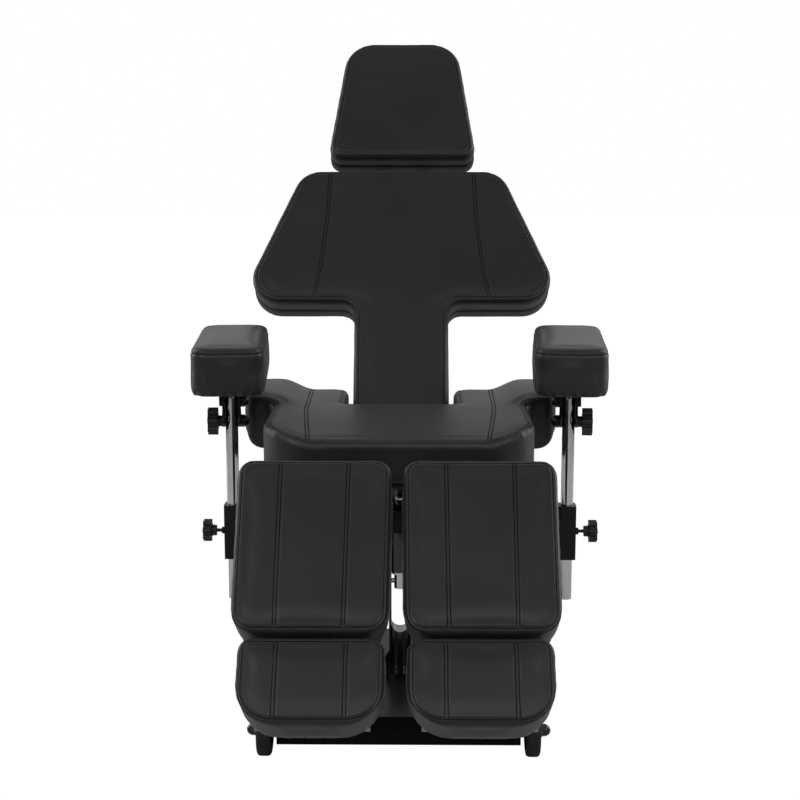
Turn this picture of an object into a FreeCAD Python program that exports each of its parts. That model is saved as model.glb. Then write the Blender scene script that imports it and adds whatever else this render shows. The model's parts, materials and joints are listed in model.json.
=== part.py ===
import FreeCAD, Part
import math
import os

from FreeCAD import Placement, Rotation, Vector

# Tattoo chair. Millimetres, X to the sitter's left as seen from the front, Y to the back, Z up.
# The origin is on the floor, under the middle of the chair's whole length.

# Shared sizes
overrun = 2.0
run_gap = 0.05
soft_gap = 0.3
board = 12.0
sheet = 3.0
mid_share = 0.5

# Base
base_half = 232.0
base_front = -252.0
base_back = 286.0
base_low = 24.0
base_high = 73.0
base_fold = 18.0
rail_setback = 32.0
rail_w = 40.0
rail_h = 40.0
rail_front = -235.0
rail_back = 446.0
cross_y = (0.0, 236.0)
rail_fit = 0.5

# Levelling feet
foot_y = 424.0
foot_r = 25.0
foot_taper_share = 0.7
foot_thick = 12.0
foot_stud_r = 6.0

# Front wheels
wheel_r = 50.0
wheel_w = 27.0
wheel_y = -240.0
wheel_gap = 9.0
wheel_core_r = 33.0
tread_round = 7.0
hub_r = 14.0
hub_proud = 4.0
axle_r = 6.0
nut_sides = 6
nut_across = 22.0
nut_hex = 8.0
nut_dome = 9.0

# Column
column_y = 20.0
yoke_r = 23.0
yoke_slot = 35.0
yoke_floor = 163.0
yoke_top = 286.5
flange_r = 45.0
flange_thick = 8.0
fin_top = 121.0
fin_out = 44.0
fin_thick = 8.0
rod_r = 12.0
rod_low = 251.0
rod_high = 500.0
rod_pin_z = 266.0
rod_pin_r = 5.0
cylinder_r = 20.0
cylinder_low = 282.0
gland_h = 5.0
gland_r = 17.0
guide_x = 80.0
guide_r = 22.0
guide_wall = 3.0
guide_outer_wall = 5.0
guide_outer_top = 370.0
guide_low = 120.0
guide_flange_r = 34.0

# Pump and pedal
pump_x = 120.0
pump_y = 200.0
pump_w = 60.0
pump_l = 100.0
pump_h = 62.0
pump_slot_share = 0.25
pump_round = 8.0
pedal_z = 112.0
pedal_pin_r = 6.0
pedal_arm_w = 24.0
pedal_arm_h = 10.0
pedal_reach = 150.0
pedal_plate_w = 90.0
pedal_plate_l = 60.0
pedal_plate_h = 8.0
pedal_ear = 8.0

# Seat frame
seat_top = 617.0
seat_thick = 79.0
seat_front = -279.0
seat_back = 291.0
seat_half = 252.0
seat_corner = 95.0
wing_aside = 11.5
wing_out = 58.0
wing_front = 39.0
wing_high = 637.0
wing_belly = 34.0
wing_slope = 50.0
wing_round = 22.0
inner_share = 0.25
notch_half = 105.0
frame_rail_x = 118.0
frame_rail_w = 24.0
frame_front = -262.0
frame_back = 275.0
frame_rail_h = 40.0
frame_plate = 8.0
cross_plate = 10.0
frame_high = seat_top - seat_thick - board
frame_low = frame_high - frame_rail_h
carriage_low = frame_high - cross_plate
carriage_front = -30.0
carriage_back = 70.0
bracket_boss = 22.0
seam_in = 87.0
seam_beside = 1.0
bolster_high = 636.0
bolster_lap = 27.0
bolster_low = 598.0
bolster_shelf = 1.5
bolster_slope = 75.0

# Arm beam, posts and sleeves
post_beside = 27.0
post_y = 6.0
post_r = 12.5
post_wall = 2.0
post_low = 234.0
post_high = 570.0
beam_low = 377.0
beam_high = 423.0
beam_front = -24.0
beam_back = 16.0
sleeve_low = 319.0
sleeve_high = 430.0
sleeve_half = 18.0
sleeve_round = 4.0
sleeve_boss_r = 7.0
sleeve_boss = 6.0
low_knob_z = 375.0
low_stud_r = 3.5
low_stud = 11.0
low_hub_r = 11.0
low_hub = 10.0
low_knob_r = 23.0
low_knob_w = 16.0

# Arm bracket and pad
arm_low = 675.0
arm_high = 768.0
arm_front = -144.0
arm_back = 226.0
arm_half = 70.0
arm_splay = 4.0
arm_round = 34.0
tilt_z = 642.0
clamp_z = 601.0
fork_half = 19.0
fork_top = 648.0
cheek_gap = 0.4
cheek_t = 5.0
swivel_spigot = 40.0
tongue_edge = 6.0
slot_gap = 0.5
tilt_turn = 30.0
tongue_turn = 44.0
bolt_r = 5.0
bolt_head_r = 11.0
bolt_head = 6.0
up_knob_r = 28.0
up_knob_w = 20.0
up_hub = 9.0
knob_lobes = 7
lobe_share = 0.24
dish_share = 0.2
dish_rim_share = 0.9
dish_top_share = 0.55

# Back
back_y = 171.0
back_angle = 60.0
back_thick = 90.0
back_drop = 122.0
back_end = 120.0
stem_half = 99.5
wing_edge = 225.0
tip_corner = 353.0
top_corner = 220.0
back_long = 544.0
tip_round = 60.0
shoulder_round = 62.0
inner_round = 32.0
stem_round = 12.0
notch_gap = 4.0
back_seam_top = 159.0
back_seam_low = 190.0

# Headrest
head_gap = 36.0
head_long = 293.0
head_low_half = 164.0
head_top_half = 122.0
head_thick = 80.0
head_round = 66.0
head_low_round = 24.0
head_rod_x = 45.0
head_rod_r = 8.0
head_socket_r = 13.0
head_pivot_in = 45.0
head_rod_in = 30.0
head_socket_in = 114.0
head_socket_l = 100.0
head_bar_half = 80.0
head_lug_x = 62.0
head_lug_w = 8.0
head_lug_half = 14.0

# Hinges
hinge_z = 495.5
shaft_r = 15.0
barrel_r = 19.0
barrel_l = 36.0
quad_out = 92.0
quad_turn = 10.0
quad_mid = 75.0
quad_plate = 6.0
quad_bolt_r = 6.0
lever_long = 90.0
lever_w = 16.0
lever_t = 6.0
stud_head = 5.0
stud_head_r = 11.0
leg_quad_at = -75.0
leg_quad_span = (-95.0, -25.0)
back_quad_at = -100.0
back_quad_span = (-115.0, -40.0)
lug_r = 14.0
lever_hub_r = 12.0
plate_gap = 0.3

# Legs and feet
leg_y = -392.7
leg_z = 611.2
leg_angle = 50.0
leg_part = 10.0
leg_proud = 25.0
leg_long = 321.0
leg_thick = 80.0
leg_in = 6.0
leg_drop = 130.0
leg_round = 28.0
leg_low_round = 36.0
back_rail_x = 72.0
back_rail_w = 24.0
back_rail_h = 20.0
leg_channel = 59.0
leg_channel_low = 56.5
leg_taper = 3.5
bar_inside = 17.5
arm_bar_r = 12.5
rail_depth = 104.5
foot_rod_r = 9.0
leg_gap = 7.0
foot_long = 147.0
foot_in = 13.5
foot_shift = 5.1
foot_channel = 57.0
foot_top_round = 24.0
foot_low_round = 58.0
foot_rod_start = 150.0
leg_bar_end = 296.0

# Release lever
release_tip_out = 36.0
release_z = 529.0
release_y = -120.0
release_w = 20.0
release_t = 8.0
release_eye_out = 18.0
release_eye_z = 512.0
release_eye_r = 8.0
release_pin_r = 4.0
release_bend_out = 6.0
release_cheek = 4.0

# Cushion form, from the underside to the face: how far up, and how far in
rise_shares = (0.0, 0.08, 0.26, 0.52, 0.80, 0.90, 0.965, 1.0)
inset_shares = (0.35, 0.05, 0.0, 0.16, 0.0, 0.10, 0.42, 1.0)
cushion_inset = 10.0
channel_w = 3.0
channel_deep = 2.0

# Sizes that follow others, so that neighbouring pieces keep together
rail_x = base_half - rail_setback
wing_in = (seat_half + notch_half) * mid_share + wing_aside
wing_half = seat_half + wing_out
seat_seam = seat_half - seam_in
seat_seam_back = wing_in + seam_beside
bolster_in = seat_seam - bolster_lap
post_x = wing_half + post_beside
head_start = back_long + head_gap
head_pivot_y = head_start + head_pivot_in
head_socket_start = back_long - head_socket_in
head_rod_start = head_socket_start - head_rod_in
back_rail_top = back_long - 2 * board
rail_out = frame_rail_x + frame_rail_w / 2
rail_in = frame_rail_x - frame_rail_w / 2
leg_half = (seat_half + leg_proud - leg_part) * mid_share
leg_x = leg_part + leg_half
arm_bar_x = leg_x - rail_in + bar_inside
foot_half = leg_half - foot_in
foot_x = leg_x - foot_shift
release_eye_x = rail_out + release_eye_out
release_bend_x = seat_half + release_bend_out
release_x = seat_half + release_tip_out

UP = Vector(0, 0, 1)
ALONG = Vector(1, 0, 0)
DOWN = -90.0
BACK = Vector(0, 1, 0)


def box(x0, x1, y0, y1, z0, z1):
    corner = Vector(min(x0, x1), min(y0, y1), min(z0, z1))
    return Part.makeBox(abs(x1 - x0), abs(y1 - y0), abs(z1 - z0), corner)


def rod(start, axis, r, length):
    return Part.makeCylinder(r, length, start, axis)


def tube(start, axis, r, wall, length):
    return rod(start, axis, r, length).cut(rod(start, axis, r - wall, length))


def fused(shapes):
    out = shapes[0]
    if len(shapes) > 1:
        out = out.fuse(shapes[1:])
    return out.removeSplitter()


def offset_outline(points, inset):
    """An anticlockwise outline with each side moved inwards."""
    moved = []
    count = len(points)
    for i in range(count):
        ax, ay = points[i - 1]
        bx, by = points[i]
        cx, cy = points[(i + 1) % count]
        ux, uy = bx - ax, by - ay
        vx, vy = cx - bx, cy - by
        lu, lv = math.hypot(ux, uy), math.hypot(vx, vy)
        px, py = bx - uy / lu * inset, by + ux / lu * inset
        qx, qy = bx - vy / lv * inset, by + vx / lv * inset
        turn = ux * vy - uy * vx
        t = ((qx - px) * vy - (qy - py) * vx) / turn
        moved.append((px + ux * t, py + uy * t))
    return moved


def rounded_wire(points, radii, z, inset=0.0):
    """A closed wire of straight sides and corner arcs; inside corners widen as the outline moves in."""
    pts = offset_outline(points, inset)
    count = len(pts)
    edges = []
    ends = []
    for i in range(count):
        a = Vector(*pts[i - 1], z)
        b = Vector(*pts[i], z)
        c = Vector(*pts[(i + 1) % count], z)
        u = (a - b).normalize()
        v = (c - b).normalize()
        convex = u.cross(v).z < 0
        r = radii[i] - inset if convex else radii[i] + inset
        half = u.getAngle(v) / 2
        back = r / math.tan(half)
        start, end = b + u * back, b + v * back
        mid_dir = (u + v).normalize()
        middle = b + mid_dir * (r / math.sin(half) - r)
        ends.append((start, end))
        edges.append(Part.Arc(start, middle, end).toShape())
    wire = []
    for i in range(count):
        wire.append(edges[i])
        wire.append(Part.LineSegment(ends[i][1], ends[(i + 1) % count][0]).toShape())
    return Part.Wire(wire)


def plate(points, radii, z0, z1):
    return Part.Face(rounded_wire(points, radii, z0)).extrude(Vector(0, 0, z1 - z0))


def cushion(points, radii, thick, channels=()):
    """A stuffed pad from z = -thick to its face at z = 0, with drawn-in sides, a crown and sewn channels."""
    wires = []
    for rise, inset in zip(rise_shares, inset_shares):
        wires.append(rounded_wire(points, radii, thick * (rise - 1), inset * cushion_inset))
    solid = Part.makeLoft(wires, True, True)
    for start, end in channels:
        a, b = Vector(*start, 0), Vector(*end, 0)
        side = (b - a).normalize().cross(UP) * (channel_w / 2)
        lift = UP * overrun
        corners = [a + side + lift, a - side + lift, a - side, a - UP * channel_deep, a + side, a + side + lift]
        groove = Part.Face(Part.makePolygon(corners)).extrude(b - a)
        solid = solid.cut(groove)
    return solid


def dome_nut(start, axis):
    """A hexagon with a domed cap, from start along axis."""
    across = nut_across / 2
    corner = across / math.cos(math.pi / nut_sides)
    turns = [2 * math.pi * i / nut_sides for i in range(nut_sides + 1)]
    hexagon = [Vector(corner * math.cos(turn), corner * math.sin(turn), 0) for turn in turns]
    body = Part.Face(Part.makePolygon(hexagon)).extrude(UP * nut_hex)
    ball_r = (across * across + nut_dome * nut_dome) / (2 * nut_dome)
    ball = Part.makeSphere(ball_r, Vector(0, 0, nut_hex + nut_dome - ball_r))
    cap = ball.common(box(-corner, corner, -corner, corner, nut_hex, nut_hex + nut_dome))
    nut = fused([body, cap])
    nut.Placement = Placement(start, Rotation(UP, axis))
    return nut


def star_knob(start, axis, r, width):
    """A lobed hand knob: round core, lobes round the rim and a domed middle."""
    lobe = r * lobe_share
    ring = r - lobe
    parts = [rod(Vector(), UP, ring, width)]
    for i in range(knob_lobes):
        turn = 2 * math.pi * i / knob_lobes
        parts.append(rod(Vector(ring * math.cos(turn), ring * math.sin(turn), 0), UP, lobe, width))
    knob = fused(parts)
    face = width * (1 - dish_share)
    dish = Part.makeCone(ring * dish_rim_share, ring * dish_top_share, width - face, Vector(0, 0, face))
    rim = rod(Vector(0, 0, face), UP, ring * dish_rim_share, width)
    knob = knob.cut(rim).fuse(dish)
    knob.Placement = Placement(start, Rotation(UP, axis))
    return knob


def mirrored(shape):
    return shape.mirror(Vector(), ALONG)


def both(shape):
    return Part.makeCompound([shape, mirrored(shape)])


PARTS = {}


def keep(name, shape):
    PARTS[name] = shape


def base_parts():
    """Folded cover, welded frame, levelling feet."""
    profile = [
        Vector(-base_half, base_front, base_low),
        Vector(-base_half, base_front, base_high - base_fold),
        Vector(-base_half, base_front + base_fold, base_high),
        Vector(-base_half, base_back, base_high),
        Vector(-base_half, base_back, base_low),
    ]
    outer = Part.Face(Part.makePolygon(profile + profile[:1])).extrude(ALONG * 2 * base_half)
    inner_half = base_half - sheet
    inside = [
        Vector(-inner_half, base_front + sheet, base_low - overrun),
        Vector(-inner_half, base_front + sheet, base_high - base_fold - sheet * mid_share),
        Vector(-inner_half, base_front + base_fold + sheet * mid_share, base_high - sheet),
        Vector(-inner_half, base_back - sheet, base_high - sheet),
        Vector(-inner_half, base_back - sheet, base_low - overrun),
    ]
    cover = outer.cut(Part.Face(Part.makePolygon(inside + inside[:1])).extrude(ALONG * 2 * inner_half))
    edge = rail_w / 2 + rail_fit
    rail_top = base_high - sheet
    rail_low = rail_top - rail_h
    for side in (-1, 1):
        x = side * rail_x
        cover = cover.cut(box(x - edge, x + edge, base_back - sheet - overrun, base_back + overrun,
                              base_low - overrun, rail_top))
        cover = cover.cut(rod(Vector(side * (base_half - sheet - overrun), wheel_y, wheel_r),
                              ALONG * side, axle_r, sheet + 2 * overrun))
    keep("base_cover", cover)

    rails = []
    for side in (-1, 1):
        x = side * rail_x
        rails.append(box(x - rail_w / 2, x + rail_w / 2, rail_front, rail_back, rail_low, rail_top))
    reach = rail_x - rail_w / 2
    for y in cross_y:
        rails.append(box(-reach, reach, y, y + rail_w, rail_low, rail_top))
    frame = fused(rails).cut(cover)
    frame = frame.common(outer.fuse(box(-base_half, base_half, base_back, rail_back, 0, base_high)))
    for side in (-1, 1):
        frame = frame.cut(rod(Vector(side * rail_x, foot_y, rail_low - overrun), UP, foot_stud_r, rail_h / 2))
    keep("base_frame", frame)

    feet = []
    for side in (-1, 1):
        at = Vector(side * rail_x, foot_y, 0)
        pad = Part.makeCone(foot_r, foot_r * foot_taper_share, foot_thick, at)
        stud = rod(at + UP * foot_thick, UP, foot_stud_r, rail_low - overrun + rail_h / 2 - foot_thick)
        feet.append(pad.fuse(stud).removeSplitter())
    keep("levelling_feet", Part.makeCompound(feet))


def wheel_parts():
    """Two rubber front wheels on hubs, their axle bolts ending in dome nuts."""
    start = base_half + wheel_gap
    bolts = []
    for side, name in ((-1, "left"), (1, "right")):
        at = Vector(side * start, wheel_y, wheel_r)
        axis = ALONG * side
        half = wheel_w / 2
        shoulder = wheel_r - tread_round
        low, high = wheel_core_r, wheel_w - tread_round
        lift = tread_round * (1 - math.sqrt(mid_share))
        profile = Part.Wire([
            Part.LineSegment(Vector(low, 0, 0), Vector(shoulder, 0, 0)).toShape(),
            Part.Arc(Vector(shoulder, 0, 0), Vector(wheel_r - lift, 0, lift),
                     Vector(wheel_r, 0, tread_round)).toShape(),
            Part.LineSegment(Vector(wheel_r, 0, tread_round), Vector(wheel_r, 0, high)).toShape(),
            Part.Arc(Vector(wheel_r, 0, high), Vector(wheel_r - lift, 0, wheel_w - lift),
                     Vector(shoulder, 0, wheel_w)).toShape(),
            Part.LineSegment(Vector(shoulder, 0, wheel_w), Vector(low, 0, wheel_w)).toShape(),
            Part.LineSegment(Vector(low, 0, wheel_w), Vector(low, 0, 0)).toShape(),
        ])
        tyre = Part.Face(profile).revolve(Vector(), UP, 360)
        tyre.Placement = Placement(at, Rotation(UP, axis))
        keep("front_tyre_" + name, tyre)

        hub = rod(at - axis * hub_proud, axis, hub_r, wheel_w + 2 * hub_proud)
        disc = rod(at + axis * (half - half * mid_share), axis, wheel_core_r, half)
        hub = fused([hub, disc]).cut(rod(at - axis * wheel_w, axis, axle_r + run_gap, 2 * (wheel_w + half)))
        keep("front_hub_" + name, hub)

        inner = rail_x + rail_w / 2
        length = start + wheel_w + hub_proud + run_gap - inner
        pin = rod(Vector(side * inner, wheel_y, wheel_r), axis, axle_r, length)
        collar_len = wheel_gap - hub_proud - run_gap
        collar = tube(Vector(side * base_half, wheel_y, wheel_r), axis, hub_r, hub_r - axle_r, collar_len)
        nut = dome_nut(Vector(side * (inner + length), wheel_y, wheel_r), axis)
        bolts.append(fused([pin, collar, nut]))
    keep("wheel_axle_bolts", Part.makeCompound(bolts))


def column_parts():
    """Slotted yoke, ram rod and its pin, guide tubes, and the ram cylinder."""
    foot = Vector(0, column_y, base_high)
    stem = rod(foot, UP, yoke_r, yoke_top - base_high)
    slot_half = yoke_slot / 2
    slot = box(-slot_half, slot_half, column_y - yoke_r - overrun, column_y + yoke_r + overrun,
               yoke_floor + slot_half, yoke_top + overrun)
    bottom = rod(Vector(0, column_y - yoke_r - overrun, yoke_floor + slot_half), BACK, slot_half,
                 2 * (yoke_r + overrun))
    flange = rod(foot, UP, flange_r, flange_thick)
    fin_low = base_high + flange_thick
    fin = Part.Face(Part.makePolygon([
        Vector(0, column_y - fin_thick / 2, fin_low),
        Vector(fin_out, column_y - fin_thick / 2, fin_low),
        Vector(yoke_r - overrun, column_y - fin_thick / 2, fin_top),
        Vector(0, column_y - fin_thick / 2, fin_top),
        Vector(0, column_y - fin_thick / 2, fin_low),
    ])).extrude(BACK * fin_thick)
    yoke = fused([stem.cut(slot).cut(bottom), flange, fin, mirrored(fin)])
    yoke = yoke.cut(rod(Vector(-yoke_r - overrun, column_y, rod_pin_z), ALONG, rod_pin_r, 2 * (yoke_r + overrun)))
    keep("centre_yoke", yoke)

    ram = rod(Vector(0, column_y, rod_low), UP, rod_r, rod_high - rod_low)
    ram = ram.cut(rod(Vector(-rod_r - overrun, column_y, rod_pin_z), ALONG, rod_pin_r, 2 * (rod_r + overrun)))
    keep("ram_rod", ram)
    keep("ram_pin", rod(Vector(-yoke_r, column_y, rod_pin_z), ALONG, rod_pin_r, 2 * yoke_r))

    body = tube(Vector(0, column_y, cylinder_low + gland_h), UP, cylinder_r, cylinder_r - rod_r - run_gap,
                rod_high + overrun - cylinder_low - gland_h)
    cap = rod(Vector(0, column_y, rod_high + overrun), UP, cylinder_r, carriage_low - rod_high - overrun)
    keep("ram_cylinder", fused([body, cap]))
    keep("ram_gland", tube(Vector(0, column_y, cylinder_low), UP, gland_r, gland_r - rod_r - run_gap, gland_h))

    outer, inner = [], []
    outer_r = guide_r + run_gap + guide_outer_wall
    for side in (-1, 1):
        at = Vector(side * guide_x, column_y, 0)
        collar = tube(at + UP * base_high, UP, guide_flange_r, guide_flange_r - guide_r - run_gap, flange_thick)
        sleeve = tube(at + UP * base_high, UP, outer_r, guide_outer_wall, guide_outer_top - base_high)
        outer.append(fused([collar, sleeve]))
        inner.append(tube(at + UP * guide_low, UP, guide_r, guide_wall, carriage_low - guide_low))
    keep("guide_outer_tubes", Part.makeCompound(outer))
    keep("guide_inner_tubes", Part.makeCompound(inner))


def pump_parts():
    """Hydraulic pump block on the base, with its foot pedal behind."""
    x0, x1 = pump_x - pump_w / 2, pump_x + pump_w / 2
    y0, y1 = pump_y - pump_l / 2, pump_y + pump_l / 2
    block = box(x0, x1, y0, y1, base_high, base_high + pump_h)
    tall = [e for e in block.Edges if abs(e.tangentAt(e.FirstParameter).z) > mid_share]
    block = block.makeFillet(pump_round, tall)
    arm_half = pedal_arm_w / 2
    slot = box(pump_x - arm_half - run_gap, pump_x + arm_half + run_gap, y1 - pedal_arm_w, y1 + overrun,
               base_high + pump_h * pump_slot_share, base_high + pump_h + overrun)
    pin_y = y1 - pedal_arm_w / 2
    pin = rod(Vector(x0, pin_y, pedal_z), ALONG, pedal_pin_r, pump_w)
    keep("pump_body", block.cut(slot).fuse(pin).removeSplitter())

    eye = rod(Vector(pump_x - arm_half, pin_y, pedal_z), ALONG, pedal_ear + run_gap, pedal_arm_w)
    arm = box(pump_x - arm_half, pump_x + arm_half, pin_y, pin_y + pedal_reach, pedal_z - pedal_arm_h / 2,
              pedal_z + pedal_arm_h / 2)
    half = pedal_plate_w / 2
    step = plate([(pump_x - half, pin_y + pedal_reach - pedal_arm_h), (pump_x + half, pin_y + pedal_reach - pedal_arm_h),
                  (pump_x + half, pin_y + pedal_reach + pedal_plate_l),
                  (pump_x - half, pin_y + pedal_reach + pedal_plate_l)],
                 [pump_round] * 4, pedal_z, pedal_z + pedal_plate_h)
    bore = rod(Vector(pump_x - pump_w, pin_y, pedal_z), ALONG, pedal_pin_r + run_gap, 2 * pump_w)
    keep("lift_pedal", fused([eye, arm, step]).cut(bore))


def derive_axes():
    """Both hinge axes, worked out from where the faces lie at rest and how deep behind them the shafts run."""
    turn = math.radians(leg_angle)
    leg = Vector(0, leg_y, leg_z)
    leg += Vector(0, -math.cos(turn), -math.sin(turn)) * leg_in
    leg += Vector(0, math.sin(turn), -math.cos(turn)) * leg_drop
    lean = math.radians(back_angle)
    down = (seat_top - hinge_z - back_drop * math.cos(lean)) / math.sin(lean)
    back = Vector(0, back_y, seat_top)
    back -= Vector(0, math.cos(lean), math.sin(lean)) * down
    back += Vector(0, math.sin(lean), -math.cos(lean)) * back_drop
    return leg, back, down


leg_axis, back_axis, back_down = derive_axes()
notch_y = back_axis.y - math.hypot(back_end - back_down, back_drop) - notch_gap
leg_quad_x = rail_out + plate_gap
back_quad_x = rail_in - plate_gap - quad_plate


def polar(centre, angle, r):
    turn = math.radians(angle)
    return Vector(centre.x, centre.y + r * math.cos(turn), centre.z + r * math.sin(turn))


def sector(centre, x, thick, inner, outer, start, end):
    """A flat ring sector in (Y, Z), round centre, from angle start to angle end."""
    wide = (start + end) / 2
    at = Vector(x, centre.y, centre.z)
    edges = [
        Part.Arc(polar(at, start, outer), polar(at, wide, outer), polar(at, end, outer)).toShape(),
        Part.LineSegment(polar(at, end, outer), polar(at, end, inner)).toShape(),
        Part.Arc(polar(at, end, inner), polar(at, wide, inner), polar(at, start, inner)).toShape(),
        Part.LineSegment(polar(at, start, inner), polar(at, start, outer)).toShape(),
    ]
    return Part.Face(Part.Wire(edges)).extrude(ALONG * thick)


def slotted(shape, centre, x, thick, r, half, start, end):
    """Cuts an arc slot of radius r, round ended, from angle start to angle end."""
    low = x - overrun
    long = thick + 2 * overrun
    shape = shape.cut(sector(centre, low, long, r - half, r + half, start, end))
    for angle in (start, end):
        at = polar(Vector(low, centre.y, centre.z), angle, r)
        shape = shape.cut(rod(at, ALONG, half, long))
    return shape


def quadrant(centre, x, span, inner):
    """The slotted plate that a clamp lever grips."""
    body = sector(centre, x, quad_plate, inner, quad_out, span[0] - quad_turn, span[1] + quad_turn)
    return slotted(body, centre, x, quad_plate, quad_mid, quad_bolt_r + slot_gap, span[0], span[1])


def clamp_lug(centre, at, x):
    """The fixed plate beside a quadrant: round the shaft, and round the clamp bolt."""
    a = rod(Vector(x, centre.y, centre.z), ALONG, bracket_boss, frame_plate)
    b = rod(Vector(x, at.y, at.z), ALONG, lug_r, frame_plate)
    u = (at - centre).normalize()
    v = Vector(0, -u.z, u.y)
    corners = [centre + v * lug_r, at + v * lug_r, at - v * lug_r, centre - v * lug_r, centre + v * lug_r]
    web = Part.Face(Part.makePolygon([Vector(x, c.y, c.z) for c in corners])).extrude(ALONG * frame_plate)
    return fused([a, b, web])


leg_bolt = polar(leg_axis, leg_quad_at, quad_mid)
back_bolt = polar(back_axis, back_quad_at, quad_mid)
leg_lever_x = rail_out - frame_plate - plate_gap - lever_t
back_lever_x = rail_in + frame_plate + plate_gap


def clamp_stud(at, x, end, headed_first=False):
    """The stud through a quadrant's arc slot, from x to end, with its head against the quadrant's outer face."""
    shank = rod(Vector(x, at.y, at.z), ALONG, quad_bolt_r, end - x)
    head_x = x if headed_first else end
    return fused([shank, rod(Vector(head_x, at.y, at.z), ALONG, stud_head_r, stud_head)])


def release_cheeks():
    """Two cheeks on the rail with the pin that the release lever turns on."""
    inner = release_w / 2 + run_gap
    out = release_eye_x + release_eye_r
    pieces = []
    for y in (release_y - inner - release_cheek, release_y + inner):
        pieces.append(box(rail_out - overrun, out, y, y + release_cheek, release_eye_z - release_eye_r,
                          release_eye_z + release_eye_r))
    start = release_y - inner - release_cheek
    pieces.append(rod(Vector(release_eye_x, start, release_eye_z), BACK, release_pin_r, 2 * (inner + release_cheek)))
    return pieces


def release_parts():
    """The flat release lever that shows beside the seat, cranked up at its tip."""
    half = release_t / 2
    start = release_y - release_w / 2
    low, high = release_eye_z - half, release_eye_z + half
    tip = release_z - release_eye_z
    outline = [(release_eye_x, low), (release_bend_x, low), (release_x, low + tip), (release_x, high + tip),
               (release_bend_x, high), (release_eye_x, high), (release_eye_x, low)]
    bar = Part.Face(Part.makePolygon([Vector(x, start, z) for x, z in outline])).extrude(BACK * release_w)
    eye = rod(Vector(release_eye_x, start, release_eye_z), BACK, release_eye_r, release_w)
    bore = rod(Vector(release_eye_x, start - overrun, release_eye_z), BACK, release_pin_r + run_gap,
               release_w + 2 * overrun)
    keep("release_lever", fused([bar, eye]).cut(bore))


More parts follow.
